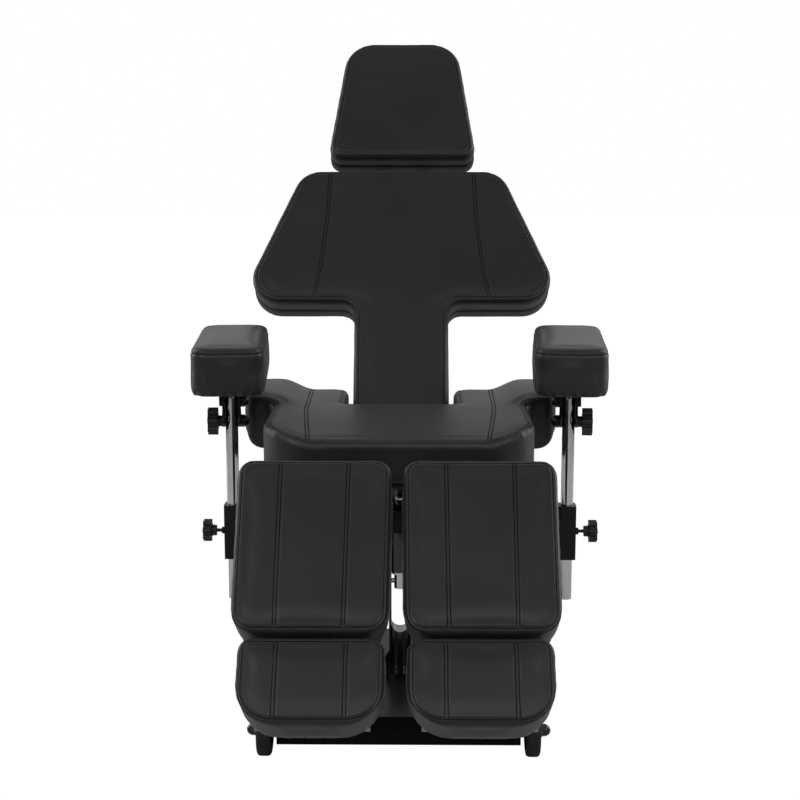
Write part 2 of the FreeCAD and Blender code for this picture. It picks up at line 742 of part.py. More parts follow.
def seat_parts():
    """Welded carriage frame, seat board, the seat and its two raised wings."""
    pieces = [box(-rail_in, rail_in, carriage_front, carriage_back, carriage_low, frame_high)]
    for side in (-1, 1):
        x = side * frame_rail_x
        pieces.append(box(x - frame_rail_w / 2, x + frame_rail_w / 2, frame_front, frame_back, frame_low, frame_high))
    lug_x = rail_out - frame_plate
    leg_lug = clamp_lug(leg_axis, leg_bolt, lug_x)
    web = box(lug_x, rail_out, leg_axis.y, frame_front + overrun, leg_axis.z - lug_r, frame_high)
    leg_lug = leg_lug.fuse(web)
    leg_lug = leg_lug.cut(rod(Vector(lug_x - overrun, leg_bolt.y, leg_bolt.z), ALONG, quad_bolt_r + run_gap,
                              frame_plate + 2 * overrun))
    back_lug = clamp_lug(back_axis, back_bolt, rail_in)
    back_lug = back_lug.cut(rod(Vector(rail_in - overrun, back_bolt.y, back_bolt.z), ALONG, quad_bolt_r + run_gap,
                                frame_plate + 2 * overrun))
    boss = rod(Vector(-rail_in - frame_plate, back_axis.y, back_axis.z), ALONG, bracket_boss, frame_plate)
    frame = fused(pieces + [leg_lug, mirrored(leg_lug), back_lug, boss] + release_cheeks())
    for at in (leg_axis, back_axis):
        frame = frame.cut(rod(Vector(-seat_half, at.y, at.z), ALONG, shaft_r, 2 * seat_half))
    keep("seat_frame", frame)

    shafts = []
    shafts.append(rod(Vector(-rail_out, back_axis.y, back_axis.z), ALONG, shaft_r, 2 * rail_out))
    inner = leg_x - arm_bar_x - barrel_l / 2
    outer = leg_x + arm_bar_x + barrel_l / 2
    leg_shaft = rod(Vector(inner, leg_axis.y, leg_axis.z), ALONG, shaft_r, outer - inner)
    leg_stud = clamp_stud(leg_bolt, leg_lever_x, leg_quad_x + quad_plate + plate_gap)
    back_stud = clamp_stud(back_bolt, back_quad_x - plate_gap - stud_head, back_lever_x + lever_t, True)
    shafts += [leg_shaft, mirrored(leg_shaft), leg_stud, mirrored(leg_stud), back_stud]
    keep("hinge_shafts", Part.makeCompound(shafts))

    low, high = frame_high, frame_high + board
    inner = seat_half - board
    front = seat_front + board
    outline = [(-inner, front), (inner, front), (inner, seat_back - board), (notch_half, seat_back - board),
               (notch_half, notch_y), (-notch_half, notch_y), (-notch_half, seat_back - board),
               (-inner, seat_back - board)]
    small = leg_round
    radii = [seat_corner - board, seat_corner - board, small, small, small, small, small, small]
    keep("seat_board", plate(outline, radii, low, high))

    inside = wing_in - soft_gap
    step = wing_front - soft_gap
    outline = [(-seat_half, seat_front), (seat_half, seat_front), (seat_half, step), (inside, step),
               (inside, seat_back), (notch_half, seat_back), (notch_half, notch_y), (-notch_half, notch_y),
               (-notch_half, seat_back), (-inside, seat_back), (-inside, step), (-seat_half, step)]
    inner_r = wing_round * inner_share
    radii = [seat_corner, seat_corner, wing_round, inner_r, wing_round, wing_round, wing_round, wing_round,
             wing_round, wing_round, inner_r, wing_round]
    lines = []
    for side in (-1, 1):
        lines.append(((side * seat_seam, seat_front + 2 * cushion_inset), (side * seat_seam_back, step)))
    seat = cushion(outline, radii, seat_thick - soft_gap, lines)
    seat.translate(Vector(0, 0, seat_top))
    out, front, back = seat_half - bolster_shelf, seat_front + bolster_shelf, step - bolster_shelf
    outline = [(bolster_in, front), (out, front), (out, back), (bolster_in, back)]
    bolster = cushion(outline, [stem_round, seat_corner - bolster_shelf, wing_round, stem_round],
                      bolster_high - bolster_low)
    bolster.translate(Vector(0, 0, bolster_high))
    above = 2 * bolster_high - seat_top
    ends = []
    for y, x in ((front - overrun, seat_seam), (back + overrun, seat_seam_back)):
        across = ((x - overrun, seat_top), (x + bolster_slope, bolster_high), (x + bolster_slope, above),
                  (bolster_in - overrun, above), (bolster_in - overrun, seat_top), (x - overrun, seat_top))
        ends.append(Part.makePolygon([Vector(px, y, pz) for px, pz in across]))
    bolster = bolster.cut(Part.makeLoft(ends, True, True))
    seat = fused([seat, bolster, mirrored(bolster)])
    keep("seat_cushion", seat)

    rise = wing_high - seat_top
    outline = [(wing_in, wing_front), (wing_half, wing_front), (wing_half, seat_back), (wing_in, seat_back)]
    wing = cushion(outline, [wing_round] * 4, wing_high - high - soft_gap)
    wing.translate(Vector(0, 0, wing_high))
    before = wing_front - overrun
    corners = [(wing_in - overrun, seat_top), (wing_in + wing_slope, wing_high), (wing_in + wing_slope, wing_high + rise),
               (wing_in - overrun, wing_high + rise), (wing_in - overrun, seat_top)]
    slope = Part.Face(Part.makePolygon([Vector(x, before, z) for x, z in corners]))
    wing = wing.cut(slope.extrude(BACK * (seat_back - wing_front + 2 * overrun)))
    floor = high + soft_gap
    square = box(wing_half - wing_belly, wing_half + overrun, before, seat_back + overrun, floor - overrun,
                 floor + wing_belly)
    belly = rod(Vector(wing_half - wing_belly, before - overrun, floor + wing_belly), BACK, wing_belly,
                seat_back - wing_front + 2 * wing_belly)
    wing = wing.cut(square.cut(belly))
    keep("seat_wing_right", wing)
    keep("seat_wing_left", mirrored(wing))


def arm_carrier_parts():
    """Cross beam under the seat, the two square sleeves for the armrest posts, and the knobs that lock them."""
    half = post_x - sleeve_half
    beam = box(-half, half, beam_front, beam_back, beam_low, beam_high)
    tall = beam_high - beam_low + 2 * overrun
    for x, r in ((-guide_x, guide_r), (guide_x, guide_r), (0, cylinder_r)):
        beam = beam.cut(rod(Vector(x, column_y, beam_low - overrun), UP, r, tall))
    keep("arm_cross_beam", beam)

    corners = [(post_x - sleeve_half, post_y - sleeve_half), (post_x + sleeve_half, post_y - sleeve_half),
               (post_x + sleeve_half, post_y + sleeve_half), (post_x - sleeve_half, post_y + sleeve_half)]
    sleeve = plate(corners, [sleeve_round] * 4, sleeve_low, sleeve_high)
    face = post_x + sleeve_half
    sleeve = fused([sleeve, rod(Vector(face - overrun, post_y, low_knob_z), ALONG, sleeve_boss_r, sleeve_boss + overrun)])
    sleeve = sleeve.cut(rod(Vector(post_x, post_y, sleeve_low - overrun), UP, post_r + run_gap,
                            sleeve_high - sleeve_low + 2 * overrun))
    start = post_x + post_r + plate_gap
    sleeve = sleeve.cut(rod(Vector(post_x, post_y, low_knob_z), ALONG, low_stud_r + run_gap,
                            sleeve_half + sleeve_boss + overrun))
    hub_at = face + sleeve_boss + low_stud
    stud = rod(Vector(start, post_y, low_knob_z), ALONG, low_stud_r, hub_at - start + overrun)
    hub = rod(Vector(hub_at, post_y, low_knob_z), ALONG, low_hub_r, low_hub)
    knob = fused([stud, hub, star_knob(Vector(hub_at + low_hub, post_y, low_knob_z), ALONG, low_knob_r, low_knob_w)])
    for name, shape in (("arm_sleeve", sleeve), ("height_knob", knob)):
        keep(name + "_right", shape)
        keep(name + "_left", mirrored(shape))


def armrest_parts():
    """Post, swivel head with its bolts and nuts, pad board with its slotted cheeks, pad and tilt knob."""
    post = tube(Vector(post_x, post_y, post_low), UP, post_r, post_wall, post_high - post_low)
    pivot = Vector(post_x, post_y, tilt_z)
    bolt = Vector(post_x, post_y, clamp_z)
    top = post_high + run_gap

    spigot = rod(Vector(post_x, post_y, top - swivel_spigot), UP, post_r - post_wall - run_gap, swivel_spigot)
    neck = rod(Vector(post_x, post_y, top), UP, post_r, fork_top - top)
    dome = Part.makeSphere(post_r, Vector(post_x, post_y, fork_top))
    reach = post_r + cheek_gap + cheek_t
    span = 2 * (reach + overrun)
    fork = fused([spigot, neck, dome])
    for at in (pivot, bolt):
        fork = fork.cut(rod(at - ALONG * (reach + overrun), ALONG, bolt_r, span))

    hold = reach + plate_gap
    pin = rod(pivot - ALONG * hold, ALONG, bolt_r, 2 * hold)
    head = rod(pivot + ALONG * hold, ALONG, bolt_head_r, bolt_head)
    pin = fused([pin, head, dome_nut(pivot - ALONG * hold, -ALONG)])
    stud = rod(bolt - ALONG * hold, ALONG, bolt_r, 2 * hold + up_hub)
    stud = fused([stud, dome_nut(bolt - ALONG * hold, -ALONG)])
    collar = rod(bolt + ALONG * hold, ALONG, bolt_head_r, up_hub).cut(rod(bolt, ALONG, bolt_r + run_gap, hold + up_hub))
    grip = star_knob(bolt + ALONG * (hold + up_hub), ALONG, up_knob_r, up_knob_w)
    tilt_knob = fused([collar, grip])

    turn = tilt_z - clamp_z
    outer = turn + bolt_r + slot_gap + tongue_edge
    cheeks = []
    for left in (post_x + post_r + cheek_gap, post_x - reach):
        low_arc = sector(pivot, left, cheek_t, bolt_r, outer, DOWN - tongue_turn, DOWN + tongue_turn)
        eye = rod(Vector(left, pivot.y, pivot.z), ALONG, fork_half, cheek_t)
        stem = box(left, left + cheek_t, post_y - fork_half, post_y + fork_half, tilt_z, arm_low - board)
        cheek = slotted(fused([low_arc, eye, stem]), pivot, left, cheek_t, turn, bolt_r + slot_gap, DOWN - tilt_turn,
                        DOWN + tilt_turn)
        cheeks.append(cheek.cut(rod(Vector(left - overrun, pivot.y, pivot.z), ALONG, bolt_r + run_gap,
                                    cheek_t + 2 * overrun)))
    x0, x1 = post_x - arm_half + board, post_x + arm_half - board
    y0, y1 = arm_front + board, arm_back - board
    corners = [(x0, y0), (x1, y0), (x1, y1), (x0, y1)]
    bed = plate(corners, [arm_round - board] * 4, arm_low - board, arm_low)
    bed = fused([bed] + cheeks)

    corners = [(post_x - arm_half, arm_front), (post_x + arm_half, arm_front), (post_x + arm_half, arm_back),
               (post_x - arm_half, arm_back)]
    pad = cushion(corners, [arm_round] * 4, arm_high - arm_low - soft_gap)
    pad.translate(Vector(0, 0, arm_high))
    pieces = (("arm_post", post), ("arm_fork", fork), ("arm_tilt_bolt", Part.makeCompound([pin, stud])),
              ("tilt_knob", tilt_knob), ("arm_board", bed), ("arm_pad", pad))
    for name, shape in pieces[1:]:
        shape.rotate(Vector(post_x, post_y, 0), UP, -arm_splay)
    for name, shape in pieces:
        keep(name + "_right", shape)
        keep(name + "_left", mirrored(shape))


def back_parts():
    """Back frame with its quadrant, board and T-shaped cushion; headrest rods, board and cushion."""
    at = Placement(Vector(0, back_y, seat_top), Rotation(ALONG, back_angle))
    behind = -back_thick - board
    rails = []
    for side in (-1, 1):
        x = side * back_rail_x
        rails.append(box(x - back_rail_w / 2, x + back_rail_w / 2, -back_down, back_rail_top, behind - back_rail_h, behind))
        socket = rod(Vector(side * head_rod_x, head_socket_start, behind - head_socket_r), BACK, head_socket_r,
                     head_socket_l)
        rails.append(socket)
    across = back_rail_x
    for y in (wing_edge + board, head_socket_start + board, back_rail_top - 2 * board):
        rails.append(box(-across, across, y, y + 2 * board, behind - board, behind))
    frame = fused(rails)
    for side in (-1, 1):
        frame = frame.cut(rod(Vector(side * head_rod_x, head_socket_start - overrun, behind - head_socket_r), BACK,
                              head_rod_r + run_gap, head_socket_l + 2 * overrun))
    frame.Placement = at
    barrels = []
    inner = back_rail_x - back_rail_w / 2
    for side in (-1, 1):
        start = inner if side > 0 else -(back_quad_x + quad_plate)
        barrels.append(rod(Vector(start, back_axis.y, back_axis.z), ALONG, barrel_r, back_quad_x + quad_plate - inner))
    quad = quadrant(back_axis, back_quad_x, back_quad_span, shaft_r)
    frame = fused([frame, quad] + barrels)
    frame = frame.cut(rod(Vector(-seat_half, back_axis.y, back_axis.z), ALONG, shaft_r + run_gap, 2 * seat_half))
    keep("back_frame", frame)

    outline = [(-stem_half, -back_end), (stem_half, -back_end), (stem_half, wing_edge), (tip_corner, wing_edge),
               (top_corner, back_long), (-top_corner, back_long), (-tip_corner, wing_edge), (-stem_half, wing_edge)]
    radii = [stem_round, stem_round, inner_round, tip_round, shoulder_round, shoulder_round, tip_round, inner_round]
    lift = wing_edge + 2 * cushion_inset
    seams = []
    for side in (-1, 1):
        seams.append(((side * back_seam_top, back_long - 2 * cushion_inset), (side * back_seam_low, lift)))
    pad = cushion(outline, [max(r, cushion_inset + overrun) for r in radii], back_thick - soft_gap, seams)
    pad.Placement = at
    keep("back_cushion", pad)
    flat = plate(offset_outline(outline, board), [stem_round, stem_round, inner_round + board] + [tip_round - board]
                 + [shoulder_round - board] * 2 + [tip_round - board, inner_round + board], -back_thick - board,
                 -back_thick)
    flat.Placement = at
    keep("back_board", flat)

    depth = behind - head_socket_r
    rods = [rod(Vector(side * head_rod_x, head_rod_start, depth), BACK, head_rod_r, head_pivot_y - head_rod_start)
            for side in (-1, 1)]
    rods.append(rod(Vector(-head_bar_half, head_pivot_y, depth), ALONG, head_rod_r, 2 * head_bar_half))
    rods = fused(rods)
    rods.Placement = at
    keep("headrest_rods", rods)

    far = head_start + head_long
    outline = [(-head_low_half, head_start), (head_low_half, head_start), (head_top_half, far), (-head_top_half, far)]
    radii = [head_low_round, head_low_round, head_round, head_round]
    pad = cushion(outline, radii, head_thick - soft_gap)
    pad.Placement = at
    keep("headrest_cushion", pad)
    bed = [plate(offset_outline(outline, board), [head_low_round - board] * 2 + [head_round - board] * 2,
                 -head_thick - board, -head_thick)]
    for side in (-1, 1):
        x = head_lug_x if side > 0 else -head_lug_x - head_lug_w
        bed.append(box(x, x + head_lug_w, head_pivot_y - head_lug_half, head_pivot_y + head_lug_half, depth,
                       -head_thick - board))
        bed.append(rod(Vector(x, head_pivot_y, depth), ALONG, head_lug_half, head_lug_w))
    bed = fused(bed)
    bed = bed.cut(rod(Vector(-head_low_half, head_pivot_y, depth), ALONG, head_rod_r + run_gap, 2 * head_low_half))
    bed.Placement = at
    keep("headrest_board", bed)


def leg_parts():
    """Leg frame with its quadrant, board and cushion, and the foot that slides out of it."""
    at = Placement(Vector(0, leg_y, leg_z), Rotation(ALONG, leg_angle))
    bars = []
    for x in (leg_x - arm_bar_x, leg_x + arm_bar_x):
        bars.append(rod(Vector(x, 0, -rail_depth), -BACK, arm_bar_r, leg_bar_end))
    frame = Part.makeCompound(bars)
    frame.Placement = at
    ends = ((leg_x - arm_bar_x - barrel_l / 2, rail_in - plate_gap), (leg_quad_x, leg_x + arm_bar_x + barrel_l / 2))
    barrels = [rod(Vector(a, leg_axis.y, leg_axis.z), ALONG, barrel_r, b - a) for a, b in ends]
    across = rod(Vector(leg_x - arm_bar_x, -leg_long * mid_share, -rail_depth), ALONG, arm_bar_r - sheet, 2 * arm_bar_x)
    across.Placement = at
    frame = fused(frame.Solids + barrels + [across, quadrant(leg_axis, leg_quad_x, leg_quad_span, shaft_r)])
    frame = frame.cut(rod(Vector(0, leg_axis.y, leg_axis.z), ALONG, shaft_r + run_gap, seat_half))
    bores = [rod(Vector(x, -2 * barrel_r, -rail_depth), -BACK, foot_rod_r + run_gap, leg_long)
             for x in (leg_x - arm_bar_x, leg_x + arm_bar_x)]
    for bore in bores:
        bore.Placement = at.multiply(bore.Placement)
        frame = frame.cut(bore)

    def placed(shape):
        shape.Placement = at.multiply(shape.Placement)
        return shape

    low = leg_half - leg_taper
    outline = [(leg_x - low, -leg_long), (leg_x + low, -leg_long), (leg_x + leg_half, 0), (leg_x - leg_half, 0)]
    radii = [leg_low_round, leg_low_round, leg_round, leg_round]
    margin = 2 * cushion_inset
    lines = [((leg_x + side * leg_channel, -margin), (leg_x + side * leg_channel_low, margin - leg_long))
             for side in (-1, 1)]
    pad = placed(cushion(outline, radii, leg_thick - soft_gap, lines))
    bed = placed(plate(offset_outline(outline, board), [leg_round - board] * 4, -leg_thick - board, -leg_thick))

    top = -leg_long - leg_gap
    end = top - foot_long
    outline = [(foot_x - foot_half, end), (foot_x + foot_half, end), (foot_x + foot_half, top), (foot_x - foot_half, top)]
    radii = [foot_low_round, foot_low_round, foot_top_round, foot_top_round]
    lines = [((foot_x + side * foot_channel, top - margin), (foot_x + side * foot_channel, end + margin))
             for side in (-1, 1)]
    foot_pad = placed(cushion(outline, radii, leg_thick - soft_gap, lines))
    rails = [rod(Vector(leg_x + side * arm_bar_x, -foot_rod_start, -rail_depth), -BACK, foot_rod_r,
                 -end - foot_rod_start - 2 * board) for side in (-1, 1)]
    bar = foot_half - 2 * board
    under = -leg_thick - board
    for y in (top - 2 * board, end + 3 * board):
        rails.append(box(foot_x - bar, foot_x + bar, y - board, y, -rail_depth - foot_rod_r, under))
    rails.append(plate(offset_outline(outline, board), [foot_low_round - board] * 2 + [foot_top_round - board] * 2,
                       under, -leg_thick))
    rails = placed(fused(rails))
    pieces = (("leg_frame", frame), ("leg_cushion", pad), ("leg_board", bed), ("foot_rails", rails),
              ("foot_cushion", foot_pad))
    for name, shape in pieces:
        keep(name + "_right", shape)
        keep(name + "_left", mirrored(shape))


def lever(at, hub_x, reach):
    """A clamp lever: its threaded hub starts at hub_x, and its arm runs backwards and ends in a round tip."""
    hub = rod(Vector(hub_x, at.y, at.z), ALONG, lever_hub_r, lever_t)
    y0, y1 = at.y, at.y + reach
    arm = box(hub_x, hub_x + lever_t, y0, y1, at.z - lever_w / 2, at.z + lever_w / 2)
    tip = rod(Vector(hub_x, y1, at.z), ALONG, lever_w / 2, lever_t)
    bore = rod(Vector(hub_x - overrun, at.y, at.z), ALONG, quad_bolt_r + run_gap, lever_t + 2 * overrun)
    return fused([hub, arm, tip]).cut(bore)


def lever_parts():
    """Clamp levers for both legs and for the back."""
    leg_lever = lever(leg_bolt, leg_lever_x, lever_long)
    keep("leg_clamp_lever_right", leg_lever)
    keep("leg_clamp_lever_left", mirrored(leg_lever))
    keep("back_clamp_lever", lever(back_bolt, back_lever_x, -lever_long))


base_parts()
wheel_parts()
column_parts()
pump_parts()
seat_parts()
arm_carrier_parts()
armrest_parts()
back_parts()
leg_parts()
lever_parts()
release_parts()

os.makedirs("parts", exist_ok=True)
for name, shape in PARTS.items():
    shape.exportStep(os.path.join("parts", name + ".step"))
    print(name, len(shape.Solids), "solids, valid", shape.isValid())
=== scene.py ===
# %% [markdown]
# A tattoo chair: black upholstery over boards, on a powder-coated lift column. Everything that moves or
# carries load comes from the imported frame, and this script dresses it. The first cell loads that frame.

# %% Load the frame
import json
import math

import bmesh
import bpy
import numpy as np
from mathutils import Euler, Matrix, Vector
from mathutils.bvhtree import BVHTree


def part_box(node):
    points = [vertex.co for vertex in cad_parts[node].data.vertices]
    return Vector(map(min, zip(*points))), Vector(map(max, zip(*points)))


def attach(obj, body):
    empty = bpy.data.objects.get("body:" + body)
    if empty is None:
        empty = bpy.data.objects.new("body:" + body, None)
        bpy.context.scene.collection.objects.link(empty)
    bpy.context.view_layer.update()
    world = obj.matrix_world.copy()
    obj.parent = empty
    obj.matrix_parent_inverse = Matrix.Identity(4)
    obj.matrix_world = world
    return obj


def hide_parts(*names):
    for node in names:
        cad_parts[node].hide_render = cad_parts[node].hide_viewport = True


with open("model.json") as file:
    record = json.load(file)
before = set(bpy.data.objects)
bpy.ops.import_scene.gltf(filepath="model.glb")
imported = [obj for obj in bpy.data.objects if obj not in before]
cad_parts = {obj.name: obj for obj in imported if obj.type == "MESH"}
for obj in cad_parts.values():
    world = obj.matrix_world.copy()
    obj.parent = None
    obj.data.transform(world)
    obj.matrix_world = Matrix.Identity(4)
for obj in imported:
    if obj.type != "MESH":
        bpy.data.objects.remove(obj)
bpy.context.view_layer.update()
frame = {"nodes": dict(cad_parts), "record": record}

nodes = frame["nodes"]
body_of_node = {n: b for b, names in frame["record"]["behaviour"]["bodies"].items() for n in names}
mm = 0.001
print("frame nodes", len(nodes))

# %% [markdown]
# Colours are written as sRGB hex values, the way a paint or leather card gives them, and one function turns
# them into the linear values that a shader reads. One more function adds a node with its settings and
# links.

# %% Colour and node helpers
def linear(code, alpha=1.0):
    channels = [int(code[i:i + 2], 16) / 255 for i in (1, 3, 5)]
    return [c / 12.92 if c <= 0.04045 else ((c + 0.055) / 1.055) ** 2.4 for c in channels] + [alpha]


def add_node(tree, kind, values=None, links=None, **settings):
    """A node with its settings, its socket values by name or number, and its links from (node, output)."""
    node = tree.nodes.new(kind)
    for key, value in settings.items():
        setattr(node, key, value)
    for key, value in (values or {}).items():
        node.inputs[key].default_value = value
    for key, (source, output) in (links or {}).items():
        tree.links.new(source.outputs[output], node.inputs[key])
    return node


def new_material(name, **sockets):
    """A Principled material, with the values that are the same all over set on the shader itself."""
    material = bpy.data.materials.new(name)
    material.use_nodes = True
    tree = material.node_tree
    shader = tree.nodes["Principled BSDF"]
    for key, value in sockets.items():
        shader.inputs[key.replace("_", " ")].default_value = value
    place = add_node(tree, "ShaderNodeTexCoord")
    return material, tree, shader, place


def bumped(tree, shader, height, output, strength, distance):
    bump = add_node(tree, "ShaderNodeBump", {"Strength": strength, "Distance": distance},
                    {"Height": (height, output)})
    tree.links.new(bump.outputs["Normal"], shader.inputs["Normal"])


# %% [markdown]
# The upholstery is artificial leather: a knitted backing with a calendered vinyl skin. It reads as near
# black with a fine pebble grain about a millimetre across, a satin gloss that breaks up over the grain, and
# slow changes where the skin is stretched or has been sat on. Grain that fine would vanish in the render,
# so it is drawn a little coarser.

# %% Artificial leather
grain_mm = 1.3
crease_mm = 9.0
stretch_mm = 160.0


def pebbled_vinyl(name, skin, worn, rough):
    material, tree, shader, place = new_material(name, Specular_IOR_Level=0.5, Sheen_Weight=0.06,
                                                 Sheen_Roughness=0.5)
    here = (place, "Object")
    grain = add_node(tree, "ShaderNodeTexVoronoi", {"Scale": 1 / (grain_mm * mm), "Randomness": 0.9},
                     {"Vector": here}, feature="SMOOTH_F1")
    crease = add_node(tree, "ShaderNodeTexNoise", {"Scale": 1 / (crease_mm * mm), "Detail": 4.0},
                      {"Vector": here})
    stretch = add_node(tree, "ShaderNodeTexNoise", {"Scale": 1 / (stretch_mm * mm), "Detail": 3.0},
                       {"Vector": here})
    tone = add_node(tree, "ShaderNodeValToRGB", links={"Fac": (stretch, "Fac")})
    tone.color_ramp.elements[0].position, tone.color_ramp.elements[1].position = 0.35, 0.68
    tone.color_ramp.elements[0].color, tone.color_ramp.elements[1].color = linear(skin), linear(worn)
    tree.links.new(tone.outputs["Color"], shader.inputs["Base Color"])
    gloss = add_node(tree, "ShaderNodeMapRange", {"To Min": rough - 0.05, "To Max": rough + 0.08},
                     {"Value": (stretch, "Fac")})
    tree.links.new(gloss.outputs["Result"], shader.inputs["Roughness"])
    height = add_node(tree, "ShaderNodeMath", {1: 0.35}, {0: (crease, "Fac"), 2: (grain, "Distance")},
                      operation="MULTIPLY_ADD")
    bumped(tree, shader, height, "Value", 0.22, 0.25 * mm)
    return material


leather = pebbled_vinyl("pebbled_artificial_leather", "#18181a", "#1e1e20", 0.44)

# %% [markdown]
# The hard finishes. Powder coat has a faint orange peel and a soft gloss. Chrome plate is a bright metal
# with only the slightest ripple. Zinc-plated steel is greyer and brushed. Moulded plastic is matt with a
# fine spark-eroded texture, rubber is duller still, and the boards wear a black non-woven lining.

# %% Hard finishes
def speckled(name, low, high, size_mm, rough, bump_mm, metallic=0.0, spread=0.08, strength=0.3,
             stretch=(1, 1, 1), **sockets):
    """A finish whose colour, gloss and relief all follow one noise of a real grain size."""
    material, tree, shader, place = new_material(name, Metallic=metallic, **sockets)
    turn = add_node(tree, "ShaderNodeMapping", {"Scale": stretch}, {"Vector": (place, "Object")})
    noise = add_node(tree, "ShaderNodeTexNoise", {"Scale": 1 / (size_mm * mm), "Detail": 3.0},
                     {"Vector": (turn, "Vector")})
    tone = add_node(tree, "ShaderNodeValToRGB", links={"Fac": (noise, "Fac")})
    tone.color_ramp.elements[0].position, tone.color_ramp.elements[1].position = 0.3, 0.7
    tone.color_ramp.elements[0].color, tone.color_ramp.elements[1].color = linear(low), linear(high)
    tree.links.new(tone.outputs["Color"], shader.inputs["Base Color"])
    gloss = add_node(tree, "ShaderNodeMapRange", {"To Min": rough - spread / 2, "To Max": rough + spread / 2},
                     {"Value": (noise, "Fac")})
    tree.links.new(gloss.outputs["Result"], shader.inputs["Roughness"])
    bumped(tree, shader, noise, "Fac", strength, bump_mm * mm)
    return material


powder = speckled("black_powder_coat", "#0d0d0e", "#131314", 2.2, 0.36, 0.12, Specular_IOR_Level=0.28)
cover_paint = speckled("satin_black_cover_paint", "#0c0c0d", "#141415", 2.2, 0.3, 0.08,
                       Specular_IOR_Level=0.1)
gloss_paint = speckled("gloss_black_enamel", "#0e0e10", "#131315", 12.0, 0.16, 0.05, Coat_Weight=0.6,
                       Coat_Roughness=0.08)
chrome = speckled("polished_chrome_plate", "#d2d4d8", "#dcdee2", 40.0, 0.09, 0.02, metallic=1.0, spread=0.05)
steel = speckled("zinc_plated_steel", "#8b8d90", "#a3a5a8", 1.2, 0.34, 0.04, metallic=1.0,
                 stretch=(0.08, 1, 1))
moulded = speckled("moulded_black_nylon", "#151516", "#1d1d1e", 0.7, 0.46, 0.08)
rubber = speckled("moulded_black_rubber", "#1a1a1b", "#242425", 1.4, 0.62, 0.12)
lining = speckled("black_non_woven_lining", "#121213", "#232324", 0.9, 0.9, 0.2, strength=0.6)
thread = speckled("black_polyester_thread", "#131314", "#1c1c1d", 0.5, 0.6, 0.05,
                  Specular_IOR_Level=0.3)
# The seam welts are near black, darker than the leather itself: painted shade of the crevice along each seam.
seam_shade_skin = speckled("leather_painted_seam_shade", "#050506", "#09090a", 1.3, 0.8, 0.1,
                     Specular_IOR_Level=0.15)

slot_finish = {"upholstery": leather, "black_paint": powder, "chrome": chrome, "steel": steel,
               "plastic": moulded, "rubber": rubber, "board": lining}
special = {"base_cover": cover_paint, "centre_yoke": gloss_paint, "ram_cylinder": gloss_paint,
           "ram_gland": chrome, "front_hub_left": moulded, "front_hub_right": moulded,
           "wheel_axle_bolts": gloss_paint, "headrest_rods": chrome}
for part in frame["record"]["subparts"]:
    obj = nodes[part["node"]]
    obj.data.materials.clear()
    obj.data.materials.append(special.get(part["node"], slot_finish[part["material_slot"]]))
print("finishes", len(bpy.data.materials))

# %% [markdown]
# The camera stands three metres in front and a little to the right, and looks down by ten degrees, as in
# the photograph. The floor and the world are white to the camera. Reflections see a studio instead: dark in
# front, where the photographer stands, and at the sides, dim above, and bright behind the chair. With the
# tall lamps at each side, that draws bright edges down the chrome. The large lamps in front light the
# cushions.

# %% Camera, floor and light
camera_place = Vector((0.032, -2.944, 1.164))
camera_down = math.radians(10)
camera_turn = math.radians(0.62)
camera_lens_mm = 67.5

camera_data = bpy.data.cameras.new("camera")
camera_data.lens = camera_lens_mm
camera_data.sensor_width = 36
camera = bpy.data.objects.new("camera", camera_data)
camera.location = camera_place
camera.rotation_euler = Euler((math.pi / 2 - camera_down, 0, camera_turn))
bpy.context.scene.collection.objects.link(camera)
bpy.context.scene.camera = camera

world = bpy.data.worlds.new("studio")
bpy.context.scene.world = world
world.use_nodes = True
sky = world.node_tree
sky_out = sky.nodes["World Output"]
rays = add_node(sky, "ShaderNodeLightPath")
seen = add_node(sky, "ShaderNodeMath", links={0: (rays, "Is Camera Ray"), 1: (rays, "Is Transmission Ray")},
                operation="MAXIMUM")
way = add_node(sky, "ShaderNodeTexCoord")
split = add_node(sky, "ShaderNodeSeparateXYZ", links={"Vector": (way, "Generated")})
behind = add_node(sky, "ShaderNodeMapRange",
                  {"From Min": 0.0, "From Max": 0.9, "To Min": 0.05, "To Max": 0.6}, {"Value": (split, "Y")})
above = add_node(sky, "ShaderNodeMapRange",
                 {"From Min": 0.25, "From Max": 0.9, "To Min": 0.0, "To Max": 0.16}, {"Value": (split, "Z")})
studio = add_node(sky, "ShaderNodeMath", links={0: (behind, "Result"), 1: (above, "Result")}, operation="ADD")
fill = add_node(sky, "ShaderNodeBackground", {"Color": (1, 1, 1, 1)}, {"Strength": (studio, "Value")})
white = add_node(sky, "ShaderNodeBackground", {"Color": (1, 1, 1, 1), "Strength": 1.0})
blend_sky = add_node(sky, "ShaderNodeMixShader", links={0: (seen, "Value"), 1: (fill, "Background"),
                                                        2: (white, "Background")})
sky.links.new(blend_sky.outputs[0], sky_out.inputs["Surface"])


def lamp(name, place, target, size, power):
    data = bpy.data.lights.new(name, "AREA")
    data.shape = "RECTANGLE"
    data.size, data.size_y = size
    data.energy = power
    lamp_object = bpy.data.objects.new(name, data)
    lamp_object.location = place
    lamp_object.rotation_euler = (Vector(target) - Vector(place)).to_track_quat("-Z", "Y").to_euler()
    bpy.context.scene.collection.objects.link(lamp_object)


lamp("key_softbox", (-2.2, -2.6, 2.3), (0, 0, 0.7), (1.6, 1.6), 31)
lamp("fill_softbox", (2.4, -2.4, 2.1), (0, 0, 0.7), (1.4, 1.4), 24)
lamp("front_softbox", (0.3, -3.3, 2.4), (0, 0.5, 1.2), (1.4, 1.4), 16)
lamp("top_softbox", (0, 0.7, 3.4), (0, 0, 0.6), (2.4, 2.4), 5)
lamp("rim_left", (-2.6, 1.0, 1.6), (0, 0, 0.8), (0.8, 2.4), 26)
lamp("rim_right", (2.6, 1.0, 1.6), (0, 0, 0.8), (0.8, 2.4), 26)

